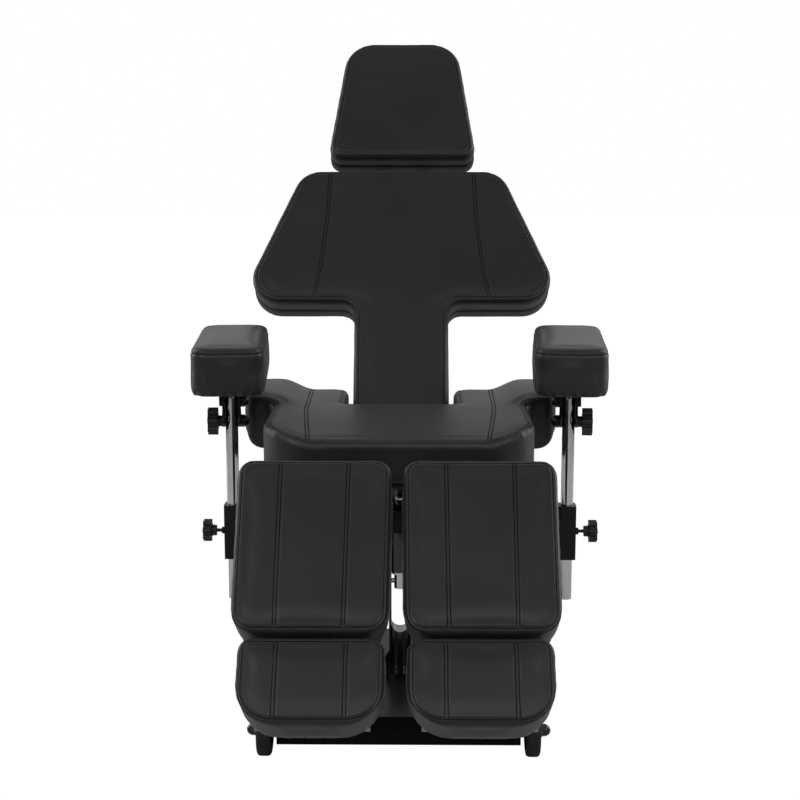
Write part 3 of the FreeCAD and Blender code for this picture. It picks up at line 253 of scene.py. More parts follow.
floor_material = bpy.data.materials.new("white_studio_floor")
floor_material.use_nodes = True
tree = floor_material.node_tree
floor_shader = tree.nodes["Principled BSDF"]
floor_shader.inputs["Base Color"].default_value = linear("#bebebe")
floor_shader.inputs["Roughness"].default_value = 0.9
path = add_node(tree, "ShaderNodeLightPath")
glow = add_node(tree, "ShaderNodeEmission", {"Color": (1, 1, 1, 1), "Strength": 1.07})
shown = add_node(tree, "ShaderNodeMath", {1: 0.94}, {0: (path, "Is Camera Ray")}, operation="MULTIPLY")
mixed = add_node(tree, "ShaderNodeMixShader", links={0: (shown, "Value"), 1: (floor_shader, "BSDF"),
                                                     2: (glow, "Emission")})
tree.links.new(mixed.outputs[0], tree.nodes["Material Output"].inputs["Surface"])

bm = bmesh.new()
bmesh.ops.create_grid(bm, x_segments=1, y_segments=1, size=20)
floor_mesh = bpy.data.meshes.new("floor")
bm.to_mesh(floor_mesh)
bm.free()
floor = bpy.data.objects.new("floor", floor_mesh)
floor.data.materials.append(floor_material)
bpy.context.scene.collection.objects.link(floor)
bpy.context.scene.view_settings.view_transform = "Standard"

# %% [markdown]
# Each cushion is foam glued to a board, under a sewn cover: a face panel, a boxing strip round the side,
# and a line of stitching each side of every seam. The face seam runs just inside the rim, or just below it
# on the arm pads. So each cushion is described as it is cut: the outline in its own plane with the radius
# of each corner, its depth, and the seams across its face. The plane is then tilted to where the frame
# holds that cushion. The seat and its two raised wings share one cover.

# %% How the cushions are cut
post = Vector((0.337, 0.006, 0))
seat_plane = Matrix.Translation((0, 0, 0.617))
arm_plane = (Matrix.Translation(post) @ Matrix.Rotation(math.radians(-4), 4, "Z") @ Matrix.Translation(-post)
             @ Matrix.Translation((0, 0, 0.768)))
back_plane = Matrix.Translation((0, 0.171, 0.617)) @ Matrix.Rotation(math.radians(60), 4, "X")
leg_plane = Matrix.Translation((0, -0.3927, 0.6112)) @ Matrix.Rotation(math.radians(50), 4, "X")

hinge_y = 0.2417
back_end, back_down, back_drop = 0.120, 0.0704, 0.122
notch_gap = 0.004
notch_y = hinge_y - math.hypot(back_end - back_down, back_drop) - notch_gap
half_seat = [(.252, -.279, .095), (.252, .039, .030), (.315, .039, .026), (.315, .291, .034),
             (.115, .291, .036), (.115, notch_y, .018)]
seat_outline = half_seat + [(-x, y, r) for x, y, r in reversed(half_seat)]
arm_outline = [(.267, -.144, .034), (.407, -.144, .034), (.407, .226, .034), (.267, .226, .034)]
half_back = [(.0995, -.120, .018), (.0995, .225, .032), (.353, .225, .060), (.220, .544, .062)]
back_outline = half_back + [(-x, y, r) for x, y, r in reversed(half_back)]
head_outline = [(-.164, .580, .024), (.164, .580, .024), (.122, .873, .066), (-.122, .873, .066)]
leg_outline = [(.0135, -.321, .036), (.2735, -.321, .036), (.277, 0, .028), (.010, 0, .028)]
foot_outline = [(.0184, -.475, .058), (.2584, -.475, .058), (.2584, -.328, .024), (.0184, -.328, .024)]


def both_sides(seam):
    return [seam, [(-x, y) for x, y in seam]]


cushions = {
    "seat_cushion": dict(plane=seat_plane, outline=seat_outline, depth=.079, rim=.009, bands=(), puff=.004,
                         proud=.002,
                         seams=both_sides([(.165, -.270), (.178, -.12), (.190, .036), (.193, .282)]),
                         nodes=("seat_cushion", "seat_wing_left", "seat_wing_right")),
    "arm_pad": dict(plane=arm_plane, outline=arm_outline, depth=.093, rim=None, bands=(.012,), puff=.004,
                    proud=.0005, seams=[], gathers=.0008),
    "back_cushion": dict(plane=back_plane, outline=back_outline, depth=.090, rim=.009, bands=(.050,),
                         puff=.004, proud=.002,
                         seams=both_sides([(.159, .535), (.164, .42), (.176, .31), (.190, .234)])),
    "headrest_cushion": dict(plane=back_plane, outline=head_outline, depth=.080, rim=.009, bands=(.044,),
                             puff=.004, proud=.003, seams=[]),
    "leg_cushion": dict(plane=leg_plane, outline=leg_outline, depth=.080, rim=.0085, bands=(), puff=.004,
                        proud=.001,
                        seams=[[(.0845, -.009), (.087, -.312)], [(.2025, -.009), (.200, -.312)]],
                        drawn_in=((0, .042, .056), (1, .042, .056))),
    "foot_cushion": dict(plane=leg_plane, outline=foot_outline, depth=.080, rim=.0085, bands=(), puff=.004,
                         proud=.001,
                         seams=[[(.0814, -.337), (.0814, -.466)], [(.1954, -.337), (.1954, -.466)]],
                         drawn_in=((0, .066, .076), (1, .066, .076))),
}
print("cushion patterns", len(cushions))

# %% [markdown]
# Two small pieces of plane geometry serve every seam: the rounded outline as closely spaced points, moved
# in by any inset, and the distance from any point to a line of such points.

# %% Outline points and distances
def rounded_points(outline, inset=0.0, spacing=0.004):
    """The cut outline as points, moved inwards: straight sides and corner arcs, anticlockwise."""
    count = len(outline)
    points = []
    for i in range(count):
        a, b, c = (Vector(outline[k % count][:2]) for k in (i - 1, i, i + 1))
        u, v = (b - a).normalized(), (c - b).normalized()
        nu, nv = Vector((-u.y, u.x)), Vector((-v.y, v.x))
        side = 1 if u.cross(v) > 0 else -1
        moved = b + (nu + nv) * (inset / (1 + nu.dot(nv)))
        radius = max(outline[i][2] - side * inset, 0.002)
        bend = math.acos(max(-1, min(1, u.dot(v))))
        start = moved - u * radius * math.tan(bend / 2)
        centre = start + nu * radius * side
        steps = max(3, int(radius * bend / spacing))
        for k in range(steps + 1):
            points.append(centre + Matrix.Rotation(side * bend * k / steps, 2) @ (start - centre))
    return respaced(points + points[:1], spacing)


def respaced(points, spacing):
    """The same line with evenly spaced points."""
    line = np.array([tuple(p) for p in points])
    steps = np.linalg.norm(np.diff(line, axis=0), axis=1)
    run = np.concatenate([[0], np.cumsum(steps)])
    count = max(2, int(round(run[-1] / spacing)))
    at = np.linspace(0, run[-1], count + 1)
    return np.stack([np.interp(at, run, line[:, k]) for k in (0, 1)], axis=1)


def beside_line(line, aside, spacing):
    """A line moved to its left by aside, with evenly spaced points."""
    path = respaced(line, spacing)
    heading = np.gradient(path, axis=0)
    across = np.stack([-heading[:, 1], heading[:, 0]], axis=1)
    return path + across / np.linalg.norm(across, axis=1, keepdims=True) * aside


def distance_to(line, xy):
    """The distance from each point of xy to a line given as points."""
    best = np.full(len(xy), 1e9)
    for a, b in zip(line[:-1], line[1:]):
        along = b - a
        t = np.clip(((xy - a) @ along) / max(along @ along, 1e-12), 0, 1)
        best = np.minimum(best, np.linalg.norm(xy - (a + t[:, None] * along), axis=1))
    return best


def numbers(mesh, collection, name, width=3):
    items = getattr(mesh, collection)
    flat = np.empty(len(items) * width, dtype=np.int32 if name == "vertices" else np.float32)
    items.foreach_get(name, flat)
    return flat.reshape(-1, width) if name == "vertices" else flat.reshape(-1, width).astype(float)


def move_to(mesh, places):
    mesh.vertices.foreach_set("co", places.ravel())
    mesh.update()


def evened(mesh, values, rounds):
    """Values on the vertices, averaged with their neighbours' again and again."""
    ends = numbers(mesh, "edges", "vertices", 2)
    a, b = ends[:, 0], ends[:, 1]
    links = np.bincount(np.concatenate([a, b]), minlength=len(values)).astype(float)
    for step in range(rounds):
        total = np.stack([np.bincount(a, column[b], len(values)) + np.bincount(b, column[a], len(values))
                          for column in values.T], axis=1)
        values = (values + total) / (1 + links[:, None])
    return values


# %% [markdown]
# A cushion starts as a copy of its solid, laid flat. The seat starts as one slab cut to the outline of seat
# and wings, whose sides are then lifted. Either is remeshed into even squares. Cloth under a little
# pressure swells it, as foam swells a tight cover: the underside is pinned to its board, and no point may
# travel further than the cover would let it. A stretched cover has no sharp puckers, so the travel is
# evened out between neighbours. The foam then holds the cover out to the shape it was cut to, and a few
# lower corners are drawn in towards the board. The seams come last, because the remesh would erase them:
# each pulls the cover in along a narrow valley. Slow ripples show where the strip round the side was eased
# round the corners, and the arm pads have small gathers where their cover is stapled.

# %% Making a cushion
voxel = 0.005
sim_frames = 20
seam_deep = 0.0016
seam_wide = 0.0022
lap_half = 0.0027
ripple_deep = 0.0003

# The seat's sides: the slope beside the lap, the rise and run of a wing, and the round under its outer edge.
lap_edge, lap_slope, lap_spread, lap_rise = 0.186, 0.247, 0.08, 0.0182
wing_rise, wing_ramp, wing_start, wing_blend = 0.023, 0.075, 0.01, 0.09
belly_edge, belly = 0.276, 0.034


def applied(obj):
    """Gives the object the mesh that its modifiers make."""
    bpy.context.view_layer.update()
    graph = bpy.context.evaluated_depsgraph_get()
    mesh = bpy.data.meshes.new_from_object(obj.evaluated_get(graph), depsgraph=graph)
    obj.modifiers.clear()
    obj.data = mesh


def inflate(obj, depth, puff):
    """Swells a cushion with cloth pressure, its underside held, and caps how far each point moves."""
    before = numbers(obj.data, "vertices", "co")
    held = obj.vertex_groups.new(name="board")
    held.add([int(i) for i in np.nonzero(before[:, 2] < -depth * 0.86)[0]], 1.0, "REPLACE")
    cloth = obj.modifiers.new("cover", "CLOTH")
    cloth.settings.quality = 4
    cloth.settings.mass = 0.35
    cloth.settings.tension_stiffness = cloth.settings.compression_stiffness = 18
    cloth.settings.bending_stiffness = 0.6
    cloth.settings.use_pressure = True
    cloth.settings.uniform_pressure_force = 4.0
    cloth.settings.vertex_group_mass = "board"
    cloth.settings.effector_weights.gravity = 0
    cloth.point_cache.frame_end = sim_frames
    for step in range(1, sim_frames + 1):
        bpy.context.scene.frame_set(step)
    applied(obj)
    bpy.context.scene.frame_set(1)
    travel = numbers(obj.data, "vertices", "co") - before
    length = np.linalg.norm(travel, axis=1, keepdims=True)
    travel = travel * np.minimum(1, puff / np.maximum(length, 1e-9))
    move_to(obj.data, before + evened(obj.data, travel, 10))
    obj.vertex_groups.clear()
    return float(length.max())


def filled_out(obj, foam, proud):
    """Moves each point that lies too deep back out to the foam, and a cover's thickness beyond it."""
    places = numbers(obj.data, "vertices", "co")
    short = np.zeros_like(places)
    for i, place in enumerate(places):
        place = Vector(place)
        hit, normal, _, _ = foam.find_nearest(place)
        if (place - hit).dot(normal) < proud:
            short[i] = hit + normal * proud - place
    move_to(obj.data, places + evened(obj.data, short, 1))


def rounded_under(obj, cut):
    """Draws the side in at some corners, further towards the board, as a tight cover pulls foam."""
    places = numbers(obj.data, "vertices", "co")
    outline = cut["outline"]
    for index, radius, under_radius in cut.get("drawn_in", ()):
        a, b, c = (Vector(outline[k % len(outline)][:2]) for k in (index - 1, index, index + 1))
        u, v = (b - a).normalized(), (c - b).normalized()
        nu, nv = Vector((-u.y, u.x)), Vector((-v.y, v.x))
        deep = np.clip(-places[:, 2] / cut["depth"], 0, 1)
        wide = radius + (under_radius - radius) * deep
        centre = np.array(tuple(b)) + np.array(tuple(nu + nv)) / (1 + nu.dot(nv)) * wide[:, None]
        away = places[:, :2] - centre
        corner = (away @ np.array(tuple(nu)) < 0) & (away @ np.array(tuple(nv)) < 0)
        length = np.linalg.norm(away, axis=1)
        beyond = corner & (length > wide)
        places[beyond, :2] = (centre + away * (wide / np.maximum(length, 1e-9))[:, None])[beyond]
    move_to(obj.data, places)


def sew(obj, cut):
    """Pulls the cover in along the rim seam, the boxing seams and the seams across the face."""
    mesh = obj.data
    places, out = numbers(mesh, "vertices", "co"), numbers(mesh, "vertices", "normal")
    xy, z = places[:, :2], places[:, 2]
    up = np.clip((out[:, 2] - 0.2) / 0.4, 0, 1)
    aside = np.clip((0.8 - np.abs(out[:, 2])) / 0.3, 0, 1)
    pull = np.zeros(len(places))
    lines = [beside_line(seam, lap, 0.01) for seam in cut["seams"] for lap in (-lap_half, lap_half)]
    if cut["rim"]:
        lines.append(rounded_points(cut["outline"], cut["rim"]))
    for line in lines:
        pull = np.maximum(pull, np.exp(-(distance_to(line, xy) / seam_wide) ** 2) * up)
    for low in cut["bands"]:
        pull = np.maximum(pull, np.exp(-((z + low) / seam_wide) ** 2) * aside)
    angle = np.arctan2(xy[:, 1] - xy[:, 1].mean(), xy[:, 0] - xy[:, 0].mean())
    ripple = np.sin(angle * 23) * np.sin(angle * 9 + z * 60) * ripple_deep * aside
    gather = np.sin(angle * 61) * np.exp(-((z + cut["depth"] - 0.004) / 0.007) ** 2) * cut.get("gathers", 0)
    move_to(mesh, places + out * (ripple + gather - pull * seam_deep)[:, None])


def seat_slab(bm, cut):
    """The seat and its wings as one slab of foam, cut to their outline."""
    corners = rounded_points(cut["outline"])[:-1]
    bottom = bm.faces.new([bm.verts.new((x, y, -cut["depth"])) for x, y in corners])
    grown = bmesh.ops.extrude_face_region(bm, geom=[bottom])["geom"]
    top = [v for v in grown if isinstance(v, bmesh.types.BMVert)]
    bmesh.ops.translate(bm, vec=(0, 0, cut["depth"]), verts=top)


def seat_raised(places, depth):
    """Lifts the sides of the slab, gently beside the lap and further at the wings, and rounds the wings."""
    x, y = np.abs(places[:, 0]), places[:, 1]
    beside_lap = np.minimum(lap_slope * np.maximum(0, x - lap_edge - y * lap_spread), lap_rise)
    wing = wing_rise * (0.5 - 0.5 * np.cos(np.pi * np.clip((x - lap_edge) / wing_ramp, 0, 1)))
    share = np.clip((y + wing_start) / wing_blend, 0, 1)
    share = share * share * (3 - 2 * share)
    rise = beside_lap * (1 - share) + wing * share
    places[:, 2] += rise * np.clip(1 + places[:, 2] / depth, 0, 1)
    along, down_by = x - belly_edge, places[:, 2] + depth - belly
    length = np.hypot(along, down_by)
    beyond = (along > 0) & (down_by < 0) & (length > belly)
    shrink = belly / np.maximum(length[beyond], 1e-9)
    places[beyond, 0] = np.sign(places[beyond, 0]) * (belly_edge + along[beyond] * shrink)
    places[beyond, 2] = belly - depth + down_by[beyond] * shrink
    return places


def cushion_from(names, cut):
    """The finished cover that stands for these nodes, in the plane it was cut in."""
    bm = bmesh.new()
    joined = len(names) > 1
    if joined:
        seat_slab(bm, cut)
    else:
        bm.from_mesh(nodes[names[0]].data)
        bmesh.ops.remove_doubles(bm, verts=bm.verts, dist=0.02 * mm)
        bmesh.ops.transform(bm, matrix=cut["plane"].inverted(), verts=bm.verts)
    bmesh.ops.recalc_face_normals(bm, faces=bm.faces)
    foam = BVHTree.FromBMesh(bm)
    mesh = bpy.data.meshes.new(names[0] + "_cover")
    bm.to_mesh(mesh)
    bm.free()
    obj = bpy.data.objects.new(mesh.name, mesh)
    bpy.context.scene.collection.objects.link(obj)
    remesh = obj.modifiers.new("even_squares", "REMESH")
    remesh.mode = "VOXEL"
    remesh.voxel_size = voxel
    applied(obj)
    if joined:
        move_to(obj.data, seat_raised(numbers(obj.data, "vertices", "co"), cut["depth"]))
        foam = BVHTree.FromPolygons([v.co for v in obj.data.vertices],
                                    [p.vertices for p in obj.data.polygons])
    move_to(obj.data, evened(obj.data, numbers(obj.data, "vertices", "co"), 4 if joined else 2))
    reach = inflate(obj, cut["depth"], cut["puff"])
    filled_out(obj, foam, cut["proud"])
    rounded_under(obj, cut)
    smooth = obj.modifiers.new("finer", "SUBSURF")
    smooth.levels = smooth.render_levels = 1
    applied(obj)
    sew(obj, cut)
    print(names[0], "vertices", len(obj.data.vertices), "swelled mm", round(reach * 1000, 1))
    return obj


# %% [markdown]
# A sewn seam shows as folds with a row of stitches each side: one fold at the rim, and two across the face,
# where the panels overlap. The folds are coloured near black, as painted shade of the crevice along each
# seam. The stitches are real thread: short rounded lengths, laid end to end.
# Folds and stitches are dropped onto the cover from outside, so that they lie in its own surface and follow
# the swelling under it. The fold is a thin round welt that sits a little over half sunk in its valley.

# %% Sewing the folds and stitches
stitch_long = 0.0046
stitch_pitch = 0.0064
stitch_round = 0.00045
stitch_aside = 0.0042
fold_pitch = 0.004
fold_round = 0.0008
fold_sunk = 0.0002


def stitch_template():
    bm = bmesh.new()
    bmesh.ops.create_uvsphere(bm, u_segments=6, v_segments=4, radius=1.0,
                              matrix=Matrix.Rotation(math.pi / 2, 4, "Y"))
    bmesh.ops.scale(bm, vec=(stitch_long / 2, stitch_round, stitch_round), verts=bm.verts)
    mesh = bpy.data.meshes.new("stitch")
    bm.to_mesh(mesh)
    bm.free()
    return mesh


one_stitch = stitch_template()


def over(point, level):
    return Vector((point[0], point[1], 0.06))


def beside(point, level):
    return Vector((point[0], point[1], level))


def down(heading):
    return Vector((0, 0, -1))


def inwards(heading):
    return Vector((-heading.y, heading.x, 0))


def seam_runs(cut, aside, pitch, laps):
    """Each seam of a cushion, moved aside: its points, their level, and how they drop onto the cover."""
    runs = []
    if cut["rim"]:
        runs.append((rounded_points(cut["outline"], cut["rim"] + aside, pitch), 0, over, down, True))
    for seam in cut["seams"]:
        runs += [(beside_line(seam, aside + lap, pitch), 0, over, down, False) for lap in laps]
    for low in cut["bands"]:
        runs.append((rounded_points(cut["outline"], -0.014, pitch), aside - low, beside, inwards, True))
    return runs


def dropped(tree, run):
    """Where a run lands on the cover: the points, the surface normals and the headings."""
    line, level, start_of, towards, closed = run
    spots = []
    for a, b in zip(line[:-1], line[1:]):
        heading = Vector((b[0] - a[0], b[1] - a[1], 0)).normalized()
        hit, normal, _, _ = tree.ray_cast(start_of((a + b) / 2, level), towards(heading))
        if hit is not None:
            spots.append((hit, normal, heading))
    return spots


def stitches_for(obj, cut, tree):
    bm = bmesh.new()
    for aside in (-stitch_aside, stitch_aside):
        for run in seam_runs(cut, aside, stitch_pitch, (0.0,)):
            for hit, normal, heading in dropped(tree, run):
                along = (heading - normal * heading.dot(normal)).normalized()
                turn = Matrix((along, normal.cross(along), normal)).transposed().to_4x4()
                piece = one_stitch.copy()
                piece.transform(Matrix.Translation(hit + normal * stitch_round * 0.3) @ turn)
                bm.from_mesh(piece)
                bpy.data.meshes.remove(piece)
    mesh = bpy.data.meshes.new(obj.name.replace("_cover", "_stitches"))
    bm.to_mesh(mesh)
    bm.free()
    sewn = bpy.data.objects.new(mesh.name, mesh)
    sewn.data.materials.append(thread)
    bpy.context.scene.collection.objects.link(sewn)
    return sewn


def folds_for(obj, cut, tree):
    curve = bpy.data.curves.new("folds", "CURVE")
    curve.dimensions = "3D"
    curve.bevel_depth = fold_round
    curve.bevel_resolution = 1
    for run in seam_runs(cut, 0.0, fold_pitch, (-lap_half, lap_half)):
        spots = dropped(tree, run)
        spline = curve.splines.new("POLY")
        spline.points.add(len(spots) - 1)
        for point, (hit, normal, heading) in zip(spline.points, spots):
            point.co = (*(hit - normal * fold_sunk), 1)
        spline.use_cyclic_u = run[4]
    line = bpy.data.objects.new(obj.name.replace("_cover", "_folds"), curve)
    bpy.context.scene.collection.objects.link(line)
    bpy.context.view_layer.update()
    graph = bpy.context.evaluated_depsgraph_get()
    mesh = bpy.data.meshes.new_from_object(line.evaluated_get(graph), depsgraph=graph)
    name = line.name
    bpy.data.objects.remove(line)
    folds = bpy.data.objects.new(name, mesh)
    folds.data.materials.clear()
    # The welt takes the near-black painted seam shade.
    folds.data.materials.append(seam_shade_skin)
    bpy.context.scene.collection.objects.link(folds)
    return folds


# %% [markdown]
# Every pattern is made once. For a pair, the left cushion is the right one seen in a mirror, as both are
# cut from one template turned over.

# %% Covers and stitches for every cushion
def settled(obj, matrix):
    """Puts a piece's place into its mesh, and turns its faces outwards again where the place mirrors it."""
    obj.data.transform(matrix)
    if matrix.determinant() < 0:
        obj.data.flip_normals()
    obj.data.shade_smooth()
    obj.data.update()


def finish_cushion(cover, trims, names):
    cover.data.materials.clear()
    cover.data.materials.append(leather)
    for piece in (cover, *trims):
        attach(piece, body_of_node[names[0]])
    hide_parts(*names)


def twin_of(obj):
    twin = bpy.data.objects.new(obj.name.replace("_right", "_left"), obj.data.copy())
    bpy.context.scene.collection.objects.link(twin)
    return twin


for name, cut in cushions.items():
    paired = name + "_right" in nodes
    names = cut.get("nodes", (name + "_right",) if paired else (name,))
    cover = cushion_from(names, cut)
    tree = BVHTree.FromObject(cover, bpy.context.evaluated_depsgraph_get())
    trims = [stitches_for(cover, cut, tree), folds_for(cover, cut, tree)]
    if paired:
        pair = [twin_of(piece) for piece in (cover, *trims)]
        for piece in pair:
            settled(piece, Matrix.Diagonal((-1, 1, 1, 1)) @ cut["plane"])
        finish_cushion(pair[0], pair[1:], (name + "_left",))
    for piece in (cover, *trims):
        settled(piece, cut["plane"])
    finish_cushion(cover, trims, names)

# %% [markdown]
# The small hardware comes next: screws, straps, staples, weld beads and washers. Each is too small to carry
# load in the frame, but a back view looks bare without it. Each kind is modelled once, about Z, and copied
# to its places. A turned kind is one profile spun round Z.

# %% Kinds of hardware
def kind(bm):
    bmesh.ops.remove_doubles(bm, verts=bm.verts, dist=0.001 * mm)
    bmesh.ops.recalc_face_normals(bm, faces=bm.faces)
    mesh = bpy.data.meshes.new("kind")
    bm.to_mesh(mesh)
    bm.free()
    return mesh


def turned(profile_mm, steps=24):
    """A profile of (radius, height) points in millimetres, spun about Z."""
    bm = bmesh.new()
    line = [bm.verts.new((r * mm, 0, h * mm)) for r, h in profile_mm]
    edges = [bm.edges.new(pair) for pair in zip(line[:-1], line[1:])]
    bmesh.ops.spin(bm, geom=line + edges, cent=(0, 0, 0), axis=(0, 0, 1), angle=2 * math.pi, steps=steps,
                   use_merge=True)
    return kind(bm)


def block(size_mm, edge_mm):
    """A rectangular bar with its edges rounded, standing on Z = 0."""
    bm = bmesh.new()
    bmesh.ops.create_cube(bm, size=1.0)
    bmesh.ops.scale(bm, vec=Vector(size_mm) * mm, verts=bm.verts)
    bmesh.ops.translate(bm, vec=(0, 0, size_mm[2] / 2 * mm), verts=bm.verts)
    bmesh.ops.bevel(bm, geom=bm.edges[:], offset=edge_mm * mm, segments=2, profile=0.5, affect="EDGES",
                    material=-1)
    return kind(bm)


def bead_drop():
    """One drop of a weld bead: a flattened ball."""
    bm = bmesh.new()
    bmesh.ops.create_icosphere(bm, subdivisions=1, radius=2.1 * mm)
    bmesh.ops.scale(bm, vec=(1, 1, 0.55), verts=bm.verts)
    return kind(bm)


def saddle():
    """A strap over a round bar that lies along Y, its two feet flat on Z = 0."""
    bm = bmesh.new()
    wide, inner, outer = 16 * mm, strap_bar_r + 0.3 * mm, strap_bar_r + 2.3 * mm
    section = ((inner, -wide / 2), (outer, -wide / 2), (outer, wide / 2), (inner, wide / 2))
    ring = [bm.verts.new((r, y, 0)) for r, y in section]
    edges = [bm.edges.new((ring[i], ring[(i + 1) % 4])) for i in range(4)]
    bmesh.ops.spin(bm, geom=ring + edges, cent=(0, 0, 0), axis=(0, -1, 0), angle=math.pi, steps=16)
    bmesh.ops.translate(bm, vec=(0, 0, strap_bar_r), verts=bm.verts)
    for side in (-1, 1):
        foot = bmesh.ops.create_cube(bm, size=1.0)["verts"]
        bmesh.ops.scale(bm, vec=(14 * mm, wide, 2 * mm), verts=foot)
        bmesh.ops.translate(bm, vec=(side * (outer + 6 * mm), 0, 1 * mm), verts=foot)
        leg = bmesh.ops.create_cube(bm, size=1.0)["verts"]
        bmesh.ops.scale(bm, vec=(2 * mm, wide, strap_bar_r), verts=leg)
        bmesh.ops.translate(bm, vec=(side * (outer - 1 * mm), 0, strap_bar_r / 2), verts=leg)
    return kind(bm)


strap_bar_r = 12.5 * mm
screw_kind = turned([(0, 1.2), (1.6, 1.2), (1.7, 2.7), (2.7, 2.6), (4.0, 1.7), (4.6, 0.5), (4.6, 0), (0, 0)])
washer_kind = turned([(6.2, 0), (11.5, 0), (11.5, 1.4), (6.2, 1.4), (6.2, 0)])
dome_kind = turned([(0, 0), (8.6, 0), (8.6, 3.2), (7.6, 3.6), (7.2, 5.2), (5.9, 7.4), (3.6, 9.0), (0, 9.6)])
parting_kind = turned([(49.0, -0.9), (50.25, -0.35), (50.25, 0.35), (49.0, 0.9), (49.0, -0.9)], 64)
staple_kind = block((10.5, 1.3, 0.7), 0.3)
rib_kind = block((78, 4.5, 2.6), 0.9)

# %% [markdown]
# A piece of hardware sits on what carries it. So each place is found by a straight look at the carrying
# node, from outside along its own direction, and the piece stands on the face that the look meets.

# %% Finding places and copying
look_from = 0.4
graph = bpy.context.evaluated_depsgraph_get()


def facing(point, way):
    """A place whose Z points along way."""
    return Matrix.Translation(point) @ Vector(way).to_track_quat("Z", "Y").to_matrix().to_4x4()


def on_face(tree, plane, points):
    """Places on a node's underside, seen from below along a plane's Z, with X kept along the plane's X."""
    way = plane.to_3x3() @ Vector((0, 0, 1))
    places = []
    for x, y in points:
        hit, normal, _, _ = tree.ray_cast(plane @ Vector((x, y, -look_from)), way)
        if hit is None or normal.dot(way) > -0.9:
            continue
        along = (plane.to_3x3() @ Vector((1, 0, 0))).normalized()
        turn = Matrix((along, (-way).cross(along), -way)).transposed().to_4x4()
        places.append(Matrix.Translation(hit) @ turn)
    return places


def copied(name, template, places, material, body):
    """One piece that holds a copy of a kind of hardware at each place."""
    bm = bmesh.new()
    for place in places:
        copy = template.copy()
        copy.transform(place)
        bm.from_mesh(copy)
        bpy.data.meshes.remove(copy)
    mesh = bpy.data.meshes.new(name)
    bm.to_mesh(mesh)
    bm.free()
    mesh.materials.append(material)
    mesh.shade_smooth()
    mesh.set_sharp_from_angle(angle=math.radians(32))
    piece = bpy.data.objects.new(name, mesh)
    bpy.context.scene.collection.objects.link(piece)
    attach(piece, body)
    print(name, len(places))


def tree_of(node):
    return BVHTree.FromObject(nodes[node], graph)


def mirror_of(plane):
    """The same plane on the left side, its X pointing outwards there too."""
    return Matrix.Diagonal((-1, 1, 1, 1)) @ plane @ Matrix.Diagonal((-1, 1, 1, 1))


# %% [markdown]
# On the real armrest the cover is pulled down over the edge of its board, so the board hardly shows below
# the pad. The CAD board keeps its full thickness for strength and collision. This piece is a copy of it
# with the underside moved up to the cover, and its two slotted cheeks lengthened by the same move.

# %% Arm boards drawn up into their covers
board_thick = 12 * mm
drawn_up = 11 * mm
drawn_boards = {}
for side, hand in ((1, "right"), (-1, "left")):
    node = "arm_board_" + hand
    bm = bmesh.new()
    bm.from_mesh(nodes[node].data)
    bmesh.ops.remove_doubles(bm, verts=bm.verts, dist=0.01 * mm)
    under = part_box("arm_pad_" + hand)[0].z - board_thick
    low = [v for v in bm.verts if abs(v.co.z - under) < 0.6 * mm]
    bmesh.ops.translate(bm, vec=(0, 0, drawn_up), verts=low)
    mesh = bpy.data.meshes.new("drawn_arm_board_" + hand)
    bm.to_mesh(mesh)
    bm.free()
    mesh.materials.append(powder)
    mesh.shade_smooth()
    mesh.set_sharp_from_angle(angle=math.radians(28))
    board = bpy.data.objects.new(mesh.name, mesh)
    bpy.context.scene.collection.objects.link(board)
    drawn_boards[hand] = BVHTree.FromPolygons([v.co for v in mesh.vertices],
                                              [p.vertices for p in mesh.polygons])
    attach(board, "armrest_" + hand)
    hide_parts(node)
    print(node, "underside vertices moved", len(low))

# %% [markdown]
# Button-head screws hold the boards to the frames, and saddle straps hold the two bars of each leg to its
# board.

# %% Screws and straps
back_at = [(x, y) for y in (0.249, 0.454, 0.508) for x in (-0.035, 0.035)]
copied("back_board_screws", screw_kind, on_face(tree_of("back_frame"), back_plane, back_at), steel,
       "back")
seat_at = [(x, y) for y in (-0.21, 0.15, 0.24) for x in (-0.118, 0.118)]
copied("seat_board_screws", screw_kind, on_face(tree_of("seat_frame"), seat_plane, seat_at), steel,
       "lift")
leg_mid = sum(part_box("leg_board_right"), Vector()).x / 2
arm_mid = sum(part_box("arm_board_right"), Vector()).x / 2
bar_aside = 0.055
for side, hand in ((1, "right"), (-1, "left")):
    board_tree = tree_of("leg_board_" + hand)
    mids = [(side * (leg_mid + k * bar_aside), y) for k in (-1, 1) for y in (-.105, -.265)]
    straps = on_face(board_tree, leg_plane, mids)
    copied("leg_bar_straps_" + hand, saddle(), straps, powder, "leg_" + hand)
    feet_at = [(x + k * 0.021, y) for x, y in mids for k in (-1, 1)]
    screws = [place @ Matrix.Translation((0, 0, 2 * mm)) for place in on_face(board_tree, leg_plane, feet_at)]
    copied("leg_strap_screws_" + hand, screw_kind, screws, steel, "leg_" + hand)
    foot_at = [(side * (leg_mid + x), y) for x in (-0.08, 0.08) for y in (-0.358, -0.434)]
    screws = on_face(tree_of("foot_rails_" + hand), leg_plane, foot_at)
    copied("foot_board_screws_" + hand, screw_kind, screws, steel, "foot_" + hand)
    arm_at = [(side * (arm_mid + x), y) for x in (-0.038, 0.038) for y in (-0.075, 0.085)]
    plane = arm_plane if side > 0 else mirror_of(arm_plane)
    copied("arm_board_screws_" + hand, screw_kind, on_face(drawn_boards[hand], plane, arm_at), steel,
           "armrest_" + hand)

# %% [markdown]
# The black lining is stapled to the underside of each board, one staple every couple of centimetres.

# %% Staples
staple_pitch = 0.024
staple_in = 0.021


def stapled(name, node, plane, outline, body):
    line = rounded_points(outline, staple_in, staple_pitch)
    places = []
    for a, b in zip(line[:-1], line[1:]):
        heading = math.atan2(b[1] - a[1], b[0] - a[0])
        spots = on_face(tree_of(node), plane, [tuple((a + b) / 2)])
        places += [spot @ Matrix.Rotation(-heading, 4, "Z") for spot in spots]
    copied(name, staple_kind, places, steel, body)


